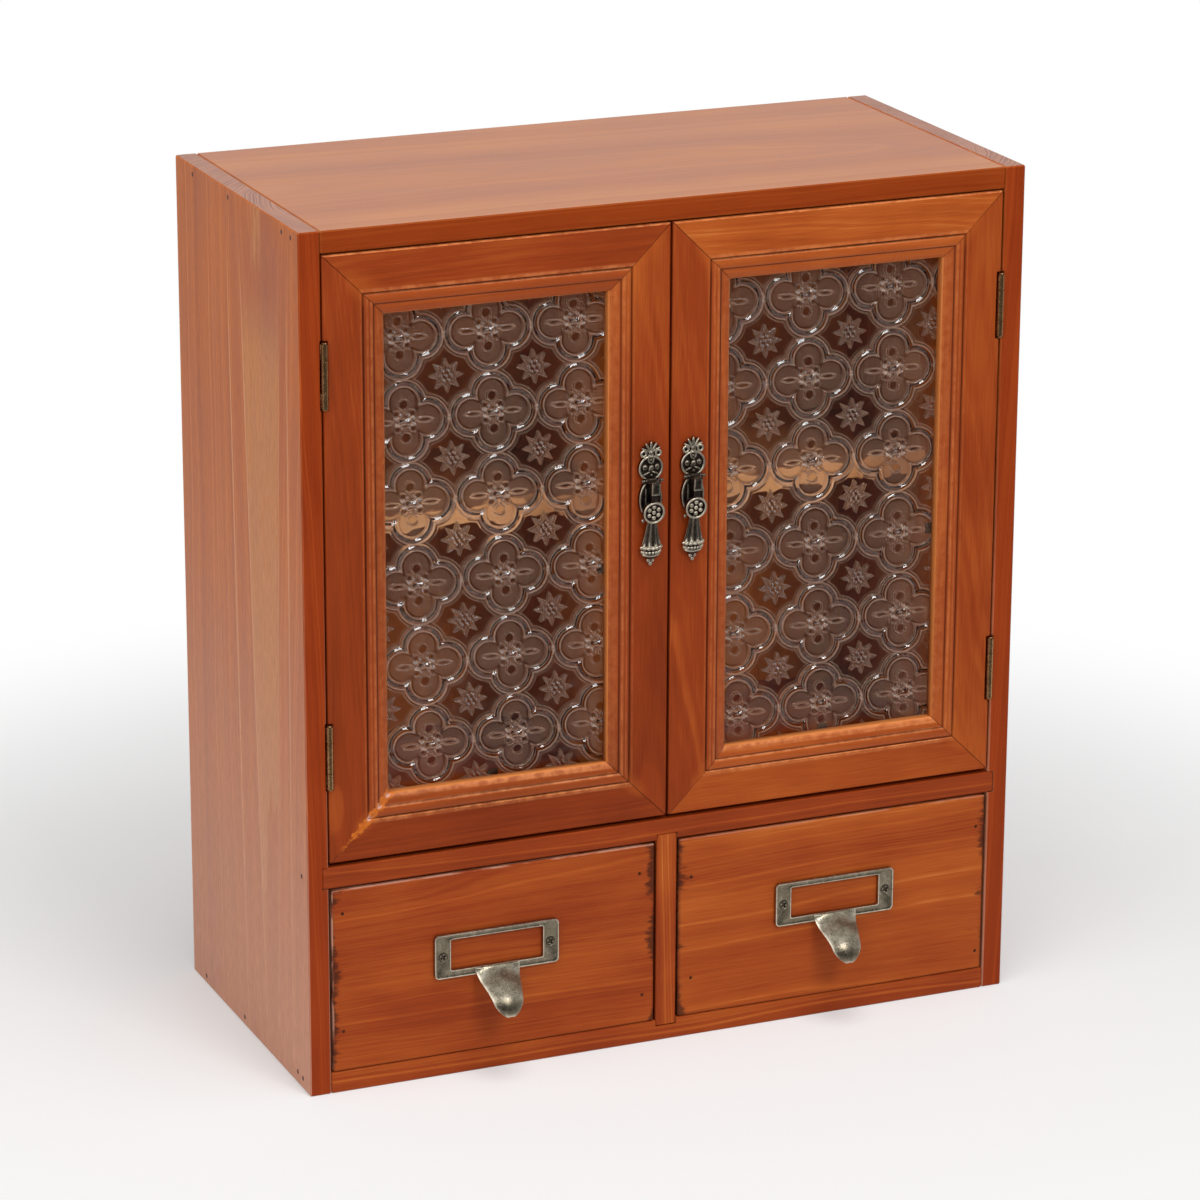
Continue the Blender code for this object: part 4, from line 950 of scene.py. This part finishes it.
class CABINET_OT_hinges(CabinetStep, bpy.types.Operator):
    """Rounds and plates the butt hinges, and adds their screws"""

    bl_idname = "cabinet.hinges"
    bl_label = "Butt hinges"

    def make(self, scene):
        bronze = antique_metal("hinge bronze", (0.05, 0.020, 0.008), (0.35, 0.185, 0.08),
                               (0.55, 0.34, 0.16), 0.26)
        screw = stacked([(1.5, -0.2), (1.5, 0.0), (1.3, 0.12), (0.5, 0.12), (0.35, -0.1)], 16)
        wear(screw, 0.4)
        for side, sign in SIDES.items():
            for level in ("upper", "lower"):
                hinge = f"{side}_{level}_hinge"
                for part, body in (("frame_leaf", "carcass"), ("door_leaf", f"{side}_door"),
                                   ("pin", "carcass")):
                    made = refined(f"{hinge}_{part}", f"{hinge}_{part}_plated", body,
                                   bronze, 0.12)
                    wear(made, lambda place: 0.35 if place.y < FRONT - 1.6 else -0.5)
                for part, body, inward in (("frame_leaf", "carcass", -1),
                                           ("door_leaf", f"{side}_door", 1)):
                    low, high = (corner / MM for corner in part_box(f"{hinge}_{part}"))
                    face = low.x if sign * inward < 0 else high.x
                    turn = (0, math.copysign(math.pi / 2, sign * inward), 0)
                    middle = (low.z + high.z) / 2
                    heads = [copied(screw, (face, FRONT + 4.3, middle + rise), turn)
                             for rise in (-9, 9)]
                    settle(join("screws", heads), f"{hinge}_{part}_screws", body,
                           bronze)
        bpy.data.objects.remove(screw)


class CABINET_OT_drop_pulls(CabinetStep, bpy.types.Operator):
    """Models the ornament of the drop pulls"""

    bl_idname = "cabinet.drop_pulls"
    bl_label = "Drop pulls"

    def make(self, scene):
        metal = scene.cabinet_metal
        bronze = antique_metal("antique bronze", (0.045, 0.027, 0.026), tuple(metal.bronze),
                               tuple(metal.bronze_worn), 0.32)
        zinc = plain_finish("zinc plate", (0.45, 0.45, 0.46), 0.35, 1.0)
        for side in SIDES:
            plate = refined(f"{side}_pull_plate", f"{side}_pull_back_plate", f"{side}_door",
                            bronze, 0.2)
            wear(plate, -0.7)
            dress(f"{side}_pull_pin", bronze)
            dress(f"{side}_pull_screw", zinc)
        pivot = sum(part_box("left_pull_pin"), Vector()) / 2 / MM
        shift = apart("pull_pin")
        fit_pair(self.relief(pivot), shift, "pull_relief", "door", bronze,
                 angle=60)
        fit_pair(self.drop(pivot), shift, "drop_casting", "drop", bronze,
                 "pull_drop", 50)

    def relief(self, pivot):
        """Crown, scrolls, rims and bosses on the back plate."""
        x, face, z = pivot.x, FRONT - 1.8, pivot.z + 5.5
        parts = []

        def lump(across, up, radius, scale, turn, amount):
            lump = ball((x + across, face, z + up), radius, scale, 12, math.radians(turn))
            parts.append(wear(lump, amount))

        for angle, length, width in ((0, 2.5, 0.85), (30, 2.5, 0.75), (-30, 2.5, 0.75),
                                     (62, 2.2, 0.7), (-62, 2.2, 0.7)):
            turn = math.radians(angle)
            lump(math.sin(turn) * 3.0, 7.4 + math.cos(turn) * 2.6, 1.0, (width * 0.8, 0.8, length),
                 angle, 0.5)
        for sign in (-1, 1):
            parts.append(wear(ring((x + sign * 3.5, face, z + 6.9), 1.25, 1.35, 0.5, 16), 0.9))
            lump(sign * 2.9, 0.5, 1.3, (1, 0.7, 1.1), 0, 0.05)
            lump(sign * 2.1, -2.3, 1.0, (1.9, 0.7, 0.55), sign * 24, 0.25)
            lump(sign * 3.6, -24.2, 0.8, (1, 0.8, 1), 0, 0.7)
            lump(sign * 2.4, -14.5, 1.0, (0.5, 0.6, 5.5), 0, 0.1)
        lump(0, 0.1, 1.3, (0.95, 0.8, 1.35), 24, 0.15)
        lump(0.3, -3.4, 1.0, (0.7, 0.6, 0.9), 0, -0.2)
        lump(0, 3.4, 1.0, (1.0, 0.8, 1.2), 0, -0.3)
        parts.append(wear(ring((x, face - 0.2, z + 4.5), 1.3, 2.1, 0.4, 20), 0.7))
        lump(0, 7.0, 1.2, (1, 0.7, 1), 0, 0.2)
        parts.append(wear(ring((x, face, z), 5.45, 5.45, 0.5), 0.85))
        parts.append(wear(ring((x, face, z - 14.5), 5.1, 8.5, 0.45), 0.8))
        return join("relief", parts)

    def drop(self, pivot):
        """The hanging casting, which stands for the plain drop."""
        knuckle = add("cylinder", (0, 0, 0), turn=(0, math.pi / 2, 0), radius=1.28, depth=4.0,
                      vertices=24)
        arm = add("cube", (0, -2.5, 0.45), scale=(3.9, 4.9, 1.05), size=1)
        stem = add("cube", (0, -3.3, -6.9), scale=(2.9, 2.1, 7.0), size=1)
        parts = [
            wear(soften(knuckle, 0.15), -0.3), wear(soften(arm, 0.12), -0.3),
            wear(soften(stem, 0.35), -0.7), self.tab(), self.medallion(), self.bell(),
            wear(ring((0, -4.0, MEDALLION), 4.7, 4.7, 0.5), 0.9),
        ]
        for step in range(7):
            turn = math.radians(60 * step + 30)
            reach = 2.6 if step < 6 else 0
            at = (reach * math.cos(turn), -3.55, MEDALLION + reach * math.sin(turn))
            parts.append(wear(ball(at, 1.05, (1, 0.8, 1)), 0.7))
        for drop, radius, count, size in ((30.9, 4.6, 7, (1.15, 0.8, 0.8)),
                                          (33.0, 4.45, 9, (0.75, 0.7, 0.75))):
            for step in range(count):
                turn = math.pi * (step + 0.5) / count
                at = (radius * math.cos(turn), -2.0 - radius * 0.60 * math.sin(turn), -drop)
                parts.append(wear(ball(at, 1.0, size, 10), 0.85))
        for offset, drop in ((-1.0, 37.4), (1.0, 37.4), (0, 39.1)):
            parts.append(wear(ball((offset, -2.3, -drop), 1.0, (1, 0.9, 1), 10), 0.6))
        drop = join("drop", parts)
        drop.rotation_euler.x = DROP_LEAN
        return put(drop, pivot)

    def tab(self):
        """The framed tab at the arm's end."""
        tab = add("cube", (0, -4.4, -2.3), scale=(4.0, 1.2, 6.0), size=1)
        hollow_front(tab, 0.85, 0.55)
        soften(tab, 0.18)

        def rub(place):
            if place.y < -4.7:
                return 1.3
            return -0.5 if place.y < -4.3 else -0.8
        return wear(tab, rub)

    def medallion(self):
        """The round medallion, hollowed behind its rim."""
        disk = add("cylinder", (0, -2.9, MEDALLION), turn=(math.pi / 2, 0, 0), radius=5.1,
                   depth=2.2, vertices=40)
        hollow_front(disk, 0.8, 0.5)
        return wear(soften(disk, 0.2), -0.9)

    def bell(self):
        """The fluted bell, flat behind, with its beaded cup."""
        bell = stacked(
            [(1.7, -15.0), (2.1, -18.0), (2.5, -21.5), (3.0, -24.5), (3.7, -27.5), (4.3, -29.6),
             (4.75, -29.9), (4.75, -30.3), (4.3, -30.6), (4.2, -31.6), (4.3, -32.3), (4.1, -33.6),
             (4.5, -34.0), (4.5, -34.5), (4.0, -35.0), (2.9, -36.0), (1.4, -36.7), (1.1, -37.4),
             (0.6, -38.4)],
            60,
        )
        for vertex in bell.data.vertices:
            place = vertex.co / MM
            if FLUTE_FOOT < place.z < FLUTE_TOP:
                turn = math.atan2(place.y, place.x)
                deepen = 1 + 0.15 * (abs(math.cos(4 * turn)) ** 0.6 * -2 + 1)
                vertex.co.x *= deepen
                vertex.co.y *= deepen
            vertex.co.y = vertex.co.y * BELL_FLATTEN - BELL_MIDDLE * MM
        open_edit(bell)
        bpy.ops.mesh.select_all(action="SELECT")
        bpy.ops.mesh.bisect(plane_co=(0, -1.6 * MM, 0), plane_no=(0, 1, 0), use_fill=True,
                            clear_outer=True)
        close_edit()
        # The cut doubles two faces at its rim
        bell.data.validate()
        open_edit(bell)
        close_outward()

        def rub(place):
            if place.z < -29.7:
                return 0.75 if -30.5 < place.z or -34.6 < place.z < -33.9 else -0.7
            turn = math.atan2((place.y + BELL_MIDDLE) / BELL_FLATTEN, place.x)
            return 1.0 - 1.5 * abs(math.cos(4 * turn)) ** 0.6
        return wear(bell, rub)


class CABINET_OT_label_pulls(CabinetStep, bpy.types.Operator):
    """Models the label holders, their finger tongues and screws"""

    bl_idname = "cabinet.label_pulls"
    bl_label = "Label pulls"

    def make(self, scene):
        metal = scene.cabinet_metal
        pewter = antique_metal("antique pewter", (0.07, 0.058, 0.042), tuple(metal.pewter),
                               tuple(metal.pewter_worn), 0.32)
        low, high = (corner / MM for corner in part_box("left_label_pull"))
        centre = ((low.x + high.x) / 2, high.z - 10.5)
        holder = join("holder", [self.frame(centre), self.tongue(centre), *self.fillets(centre)])
        shift = apart("label_pull")
        fit_pair(holder, shift, "label_holder", "drawer", pewter, "label_pull",
                 45)
        for which in ("outer", "inner"):
            node = f"label_{which}_screw"
            fit_pair(self.screw(f"left_{node}"), apart(node), f"{node}_head", "drawer",
                     pewter, node)

    def frame(self, centre):
        """The plate round the label's window, with raised rims."""
        x, z = centre
        window = (x, z + 0.5)
        near, far = FRONT - 2.3, FRONT - 0.3
        plate = rounded_slab(60.5, 21.0, 2.0, near, far, centre)
        field = rounded_slab(59.5, 20.0, 1.6, near - 1, near + 0.3, centre)
        carve(field, rounded_slab(46.1, 16.0, 1.1, near - 2, near + 2, window))
        carve(plate, field)
        carve(plate, rounded_slab(45.2, 15.1, 0.8, near - 1, far + 1, window))
        for offset in (-LABEL_SCREW, LABEL_SCREW):
            sink = add("cone", (x + offset, near + 0.5, z), turn=(math.pi / 2, 0, 0), radius1=1.6,
                       radius2=2.75, depth=1.2, vertices=32)
            carve(plate, sink)
        soften(plate, 0.12)

        def rub(place):
            from_screw = math.hypot(abs(place.x - x) - LABEL_SCREW, place.z - z)
            if from_screw < 3.1 and place.y > near + 0.33:
                return -1.0
            return 0.75 if place.y < near + 0.14 else -0.05
        return wear(plate, rub)

    def fillets(self, centre):
        """The shoulders that spread the tongue's root along the lower bar."""
        x, z = centre
        shoulders = []
        for sign in (-1, 1):
            shoulder = add("cone", (0, 0, 0), turn=(0, sign * math.pi / 2, 0), radius1=2.3,
                           radius2=0.3, depth=4.6, vertices=24)
            for vertex in shoulder.data.vertices:
                vertex.co.y *= 0.75
                vertex.co.z *= 0.62
            put(shoulder, (x + sign * 9.6, FRONT - 1.7, z - 8.7))
            shoulders.append(wear(shoulder, -0.2))
        return shoulders

    def tongue(self, centre):
        """The arched finger tongue, which leaves the lower bar."""
        x, z = centre
        shell = add("grid", (0, 0, 0), x_subdivisions=18, y_subdivisions=24, size=1)
        # Its middle line, as how far out and how far down, with a point more at either end
        line = [Vector(point) for point in (
            (2.1, -5.8), (2.2, -7.3), (3.7, -9.0), (6.8, -11.0), (10.4, -13.2), (13.8, -15.9),
            (16.7, -18.9), (18.5, -22.5), (19.1, -26.6), (19.0, -31.0),
        )]
        spans = len(line) - 3
        widths = (11.0, 10.6, 9.7, 8.9, 8.1, 7.3)
        straight = len(widths) - 1
        worn = {}
        for vertex in shell.data.vertices:
            across, along = vertex.co.x / MM * 2, max(0, min(1, vertex.co.y / MM + 0.5))
            along = 1 - (1 - along) ** 1.35
            step = min(spans - 1, int(along * spans))
            part = along * spans - step
            place, slope = self.between(line[step:step + 4], part)
            if step < straight:
                half = widths[step] * (1 - part) + widths[step + 1] * part
            else:
                tip = (along * spans - straight) / (spans - straight)
                half = widths[-1] * math.sqrt(1 - 0.985 * tip**1.6)
            hollow = 2.6 * across * across * (half / 9.1) * min(1, along / 0.3)
            outward = Vector((-slope.y, slope.x)).normalized()
            place = place - outward * hollow
            vertex.co = Vector((x + across * half, FRONT - place.x, z + place.y)) * MM
            edge = max(abs(across) ** 10, along**18)
            dulled = max(0, along - 0.70) / 0.30
            worn[vertex.index] = edge * 0.95 + (0.15 - 0.95 * dulled) * (1 - edge)
        layer = shell.data.attributes.new("wear", "FLOAT", "POINT")
        for index, value in worn.items():
            layer.data[index].value = value
        open_edit(shell)
        close_outward()
        modify(shell, "SOLIDIFY", thickness=1.5 * MM, offset=0.0, use_even_offset=True)
        return modify(shell, "SUBSURF", levels=1, render_levels=1)

    def between(self, points, part):
        """The place and slope of a smooth line through four points, between the middle two."""
        first, second, third, fourth = points
        bend = (third - first, (first * 2 - second * 5 + third * 4 - fourth),
                (second * 3 - first - third * 3 + fourth))
        place = second + (bend[0] * part + bend[1] * part**2 + bend[2] * part**3) / 2
        return place, (bend[0] + bend[1] * 2 * part + bend[2] * 3 * part**2) / 2

    def screw(self, node):
        """A countersunk cross-head screw."""
        low, high = (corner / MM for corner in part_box(node))
        head = stacked([(0.9, -6.0), (1.0, -2.0), (1.8, -0.9), (2.15, -0.4), (2.05, -0.08),
                        (1.5, 0.0)], 32)
        for turn in (0.5, 0.5 + math.pi / 2):
            slot = add("cube", (0, 0, 0), scale=(3.0, 1.05, 1.8), size=1)
            slot.rotation_euler.z = turn
            carve(head, put(slot, (0, 0, 0)))
        wear(head, lambda place: 0.05 if place.z > -0.04 else -1.2)
        head.rotation_euler.x = math.pi / 2
        return put(head, ((low.x + high.x) / 2, low.y - 0.1, (low.z + high.z) / 2))


class CABINET_OT_catches(CabinetStep, bpy.types.Operator):
    """Finishes the magnet catches and their strikes"""

    bl_idname = "cabinet.catches"
    bl_label = "Catches"

    def make(self, scene):
        plastic = plain_finish("brown catch plastic", (0.05, 0.02, 0.01), 0.45)
        steel = plain_finish("strike steel", (0.45, 0.45, 0.46), 0.35, 1.0)
        for side in SIDES:
            refined(f"{side}_catch_magnet", f"{side}_catch_case", "carcass",
                    plastic, 0.5)
            dress(f"{side}_catch_strike", steel)


class CABINET_OT_nails(CabinetStep, bpy.types.Operator):
    """Drives the nails of the case, the drawer fronts and the back"""

    bl_idname = "cabinet.nails"
    bl_label = "Nails"

    def make(self, scene):
        radius = scene.cabinet_metal.nail_radius / MM
        iron = antique_metal("nail iron", (0.030, 0.010, 0.005), (0.075, 0.024, 0.011),
                             (0.14, 0.06, 0.035), 0.5)
        # How far from the back, read against a depth of 170 mm, and how high
        from_back = [(25, 396), (75.5, 396), (148.5, 396), (160.5, 396), (19.5, 4), (76.8, 4.2),
                     (152.4, 5.8), (159.5, 5.2), (162.0, 103.9)]
        for side, sign in SIDES.items():
            spots = [(sign * HALF_WIDTH, BACK - along * 165 / 170, up) for along, up in from_back]
            self.drive(f"{side}_case_nails", spots, (0, sign * math.pi / 2, 0), radius * 1.5,
                       "carcass", iron)
        # How far from the case's left edge, and how high
        drawers = {
            "left": [(16.3, 86.3), (16.1, 29.5), (161.3, 84.2), (162.9, 24.1)],
            "right": [(187.3, 78.7), (187.5, 28.7), (334.3, 82.6), (335.7, 19.4)],
        }
        for side, places in drawers.items():
            spots = [(across - HALF_WIDTH, FRONT, up) for across, up in places]
            self.drive(f"{side}_drawer_nails", spots, (math.pi / 2, 0, 0), radius,
                       f"{side}_drawer", iron)
        back = [(x, BACK, z) for x in (-150, -75, 0, 75, 150) for z in (7.6, 104, 392.4)]
        back += [(x, BACK, z) for x in (-167.4, 167.4) for z in (55, 150, 240, 330)]
        self.drive("back_nails", back, (-math.pi / 2, 0, 0), radius, "carcass", iron)

    def drive(self, name, spots, turn, radius, body, iron):
        """Copies one nail head to each spot."""
        nail = stacked([(radius, -0.3), (radius, 0.0), (radius * 0.75, 0.08),
                        (radius * 0.25, 0.12)], 14)
        wear(nail, lambda place: 0.3 if place.z > 0.06 else -0.6)
        heads = [copied(nail, spot, turn) for spot in spots]
        bpy.data.objects.remove(nail)
        settle(join(name, heads), name, body, iron)


class CABINET_OT_glazing_clips(CabinetStep, bpy.types.Operator):
    """Bends the clips that hold the panes from behind"""

    bl_idname = "cabinet.glazing_clips"
    bl_label = "Glazing clips"

    def make(self, scene):
        dark = plain_finish("blackened clip steel", (0.03, 0.045, 0.05), 0.35, 1.0)
        glass_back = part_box("left_door_glass")[1].y / MM
        door_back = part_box("left_door_top_rail")[1].y / MM
        clip = self.clip(door_back - glass_back)
        for side in SIDES:
            low, high = door_edges(side)
            middle = (low + high) / 2
            places = [
                (low.x + CLIP_INSET, middle.z, 0), (high.x - CLIP_INSET, middle.z - 20, math.pi),
                (middle.x, low.z + CLIP_INSET, -math.pi / 2),
                (middle.x, high.z - CLIP_INSET, math.pi / 2),
            ]
            clips = [
                copied(clip, (x - 2.5 * math.cos(turn), door_back + 0.27, z + 2.5 * math.sin(turn)),
                       (0, turn, 0))
                for x, z, turn in places
            ]
            settle(join("clips", clips), f"{side}_glazing_clips", f"{side}_door",
                   dark)
        bpy.data.objects.remove(clip)

    def clip(self, step):
        """A strip with a screw, stepped down on to the pane. It points along x."""
        strip = add("cube", (0, 0, 0), scale=(4.0, 0.5, 5.0), size=1)
        open_edit(strip, "FACE")
        pick(strip, "faces", lambda face: face.normal.x > 0.9)
        for across, drop in ((1.2, -step), (5.0, 0)):
            extrude(across, drop, 0)
        close_edit()
        soften(strip, 0.12)
        screw = stacked([(1.3, 0.0), (1.3, 0.35), (0.9, 0.6), (0.3, 0.65)], 16)
        screw.rotation_euler.x = -math.pi / 2
        return join("clip", [strip, put(screw, (-0.3, 0.2, 0))])


class CABINET_OT_stage(CabinetStep, bpy.types.Operator):
    """Sets the floor, the light and the camera"""

    bl_idname = "cabinet.stage"
    bl_label = "Stage"

    def make(self, scene):
        self.floor()
        self.flag()
        self.sky(scene)
        key = self.lamp("key", 8, 37, 2.4, 0.80, 18.5)
        key.data.shape = "RECTANGLE"
        key.data.size_y = 0.42
        self.lamp("front fill", -45, 30, 2.3, 1.0, 7)
        self.lamp("left fill", -78, 22, 2.2, 2.0, 14.5)
        self.lamp("overhead", 0, 75, 2.2, 1.2, 24).visible_glossy = False
        self.camera(scene)
        scene.view_settings.view_transform = "Standard"

    def floor(self):
        """A pale floor that keeps the shadow near the cabinet and is white further out.

        What a pane's inner face mirrors sees it dark, as the outer face sees the dark card.
        """
        floor = add("circle", (0, 0, 0), radius=3000, vertices=64, fill_type="NGON")
        floor.name = "floor"
        open_edit(floor, "FACE")
        bpy.ops.mesh.select_all(action="SELECT")
        bpy.ops.mesh.inset(thickness=2.2)
        close_edit()
        finish = Finish("pale floor")
        finish.set(Base_Color=(0.86, 0.86, 0.86), Roughness=0.9, Specular_IOR_Level=0.1)
        seen, echo = self.seen_and_echo(finish)
        x, y, z = finish.millimetres()
        far = x.hypot(y).rise(300, 620) * 0.75 + 0.25
        white = finish.node("ShaderNodeEmission", {
            "Color": (1, 1, 1), "Strength": echo * -0.92 + 1,
        })
        finish.show(finish.mixed(seen * far, finish.shaded, white))
        floor.data.materials.append(finish.material)

    def flag(self):
        """A dark card in front, seen only in reflections, so that the front shows its stain."""
        card = add("plane", (0, -1660, 2), scale=(6000, 2680, 1), size=1)
        card.name = "dark card"
        open_edit(card, "EDGE")
        pick(card, "edges", lambda edge: all(vertex.co.y < -2.9 for vertex in edge.verts))
        extrude(0, 0, 3200)
        close_edit()
        dark = Finish("dark card")
        x, y, z = dark.millimetres()
        tone = z.rise(0, 1500) * 0.12 + 0.12
        dark.show(dark.node("ShaderNodeEmission", {"Color": (1, 1, 1), "Strength": tone}))
        card.data.materials.append(dark.material)
        for ray in ("camera", "diffuse", "transmission", "shadow", "volume_scatter"):
            setattr(card, f"visible_{ray}", False)

    def seen_and_echo(self, graph):
        """1 for what is seen straight, mirrored or through glass, and 1 for an inner mirroring."""
        camera, glossy, through, mirrored = graph.rays(
            "Is Camera Ray", "Is Glossy Ray", "Is Transmission Ray", "Glossy Depth")
        return camera.most(glossy).most(through), (through * mirrored).least(1)

    def sky(self, scene):
        """A soft even light, which the camera, metal and glass see as white.

        What a pane's inner face mirrors sees it dark, like the floor.
        """
        scene.world = scene.world or bpy.data.worlds.new("studio")
        scene.world.use_nodes = True
        scene.world.node_tree.nodes.clear()
        sky = Graph(scene.world.node_tree)
        seen, echo = self.seen_and_echo(sky)
        strength = sky.node("ShaderNodeMapRange", {"Value": seen, "To Min": 0.31, "To Max": 1.0})
        light = sky.node("ShaderNodeBackground", {"Strength": (strength - echo).most(0)})
        sky.node("ShaderNodeOutputWorld", {"Surface": light}, output=None)

    def lamp(self, name, azimuth, elevation, distance, size, power):
        """A square soft lamp that points at the cabinet's middle."""
        aim = Vector((0, 0, HEIGHT / 2 * MM))
        direction = toward(math.radians(azimuth), math.radians(elevation))
        bpy.ops.object.select_all(action="DESELECT")
        bpy.ops.object.light_add(type="AREA", location=aim + direction * distance)
        lamp = bpy.context.object
        lamp.name = name
        lamp.rotation_euler = direction.to_track_quat("Z", "Y").to_euler()
        lamp.data.size = size
        lamp.data.energy = power
        return lamp

    def camera(self, scene):
        """The photograph's view."""
        away = toward(math.radians(PHOTO_AZIMUTH), math.radians(PHOTO_ELEVATION))
        roll = math.radians(PHOTO_ROLL)
        right = Vector((0, 0, 1)).cross(away).normalized()
        up = away.cross(right)
        across = right * math.cos(roll) + up * math.sin(roll)
        upward = up * math.cos(roll) - right * math.sin(roll)
        turn = Matrix((across, upward, away)).transposed()
        bpy.ops.object.select_all(action="DESELECT")
        bpy.ops.object.camera_add(location=PHOTO_PLACE, rotation=turn.to_euler())
        camera = bpy.context.object
        camera.data.lens = PHOTO_FOCAL / PHOTO_WIDTH * SENSOR
        camera.data.sensor_width = SENSOR
        scene.camera = camera


def door_edges(side):
    """The lowest and highest corners of a door, in millimetres."""
    members = [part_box(f"{side}_door_{member}") for member in
               ("hinge_stile", "meeting_stile", "top_rail", "bottom_rail")]
    low = Vector([min(box[0][axis] for box in members) for axis in range(3)])
    high = Vector([max(box[1][axis] for box in members) for axis in range(3)])
    return low / MM, high / MM


class CABINET_PT_panel(bpy.types.Panel):
    """Lists the steps that dress the cabinet"""

    bl_idname = "CABINET_PT_panel"
    bl_label = "Countertop cabinet"
    bl_space_type = "VIEW_3D"
    bl_region_type = "UI"
    bl_category = "Cabinet"

    def draw(self, context):
        for settings in ("cabinet_wood", "cabinet_metal", "cabinet_glass"):
            group = getattr(context.scene, settings)
            for name in group.__annotations__:
                self.layout.prop(group, name)
        for step in STEPS:
            self.layout.operator(step.bl_idname)


STEPS = (
    CABINET_OT_case, CABINET_OT_doors, CABINET_OT_drawers, CABINET_OT_panes, CABINET_OT_hinges,
    CABINET_OT_drop_pulls, CABINET_OT_label_pulls, CABINET_OT_catches, CABINET_OT_nails,
    CABINET_OT_glazing_clips, CABINET_OT_stage,
)
SETTINGS = {
    "cabinet_wood": CabinetWoodSettings,
    "cabinet_metal": CabinetMetalSettings,
    "cabinet_glass": CabinetGlassSettings,
}


def register():
    for settings in SETTINGS.values():
        bpy.utils.register_class(settings)
    for name, settings in SETTINGS.items():
        setattr(bpy.types.Scene, name, bpy.props.PointerProperty(type=settings))
    for shown in (*STEPS, CABINET_PT_panel):
        bpy.utils.register_class(shown)


def unregister():
    for shown in (*STEPS, CABINET_PT_panel):
        bpy.utils.unregister_class(shown)
    for name, settings in SETTINGS.items():
        delattr(bpy.types.Scene, name)
        bpy.utils.unregister_class(settings)


def main():
    """Runs every step in order."""
    register()
    for step in STEPS:
        family, name = step.bl_idname.split(".")
        getattr(getattr(bpy.ops, family), name)()


if __name__ == "__main__":
    main()
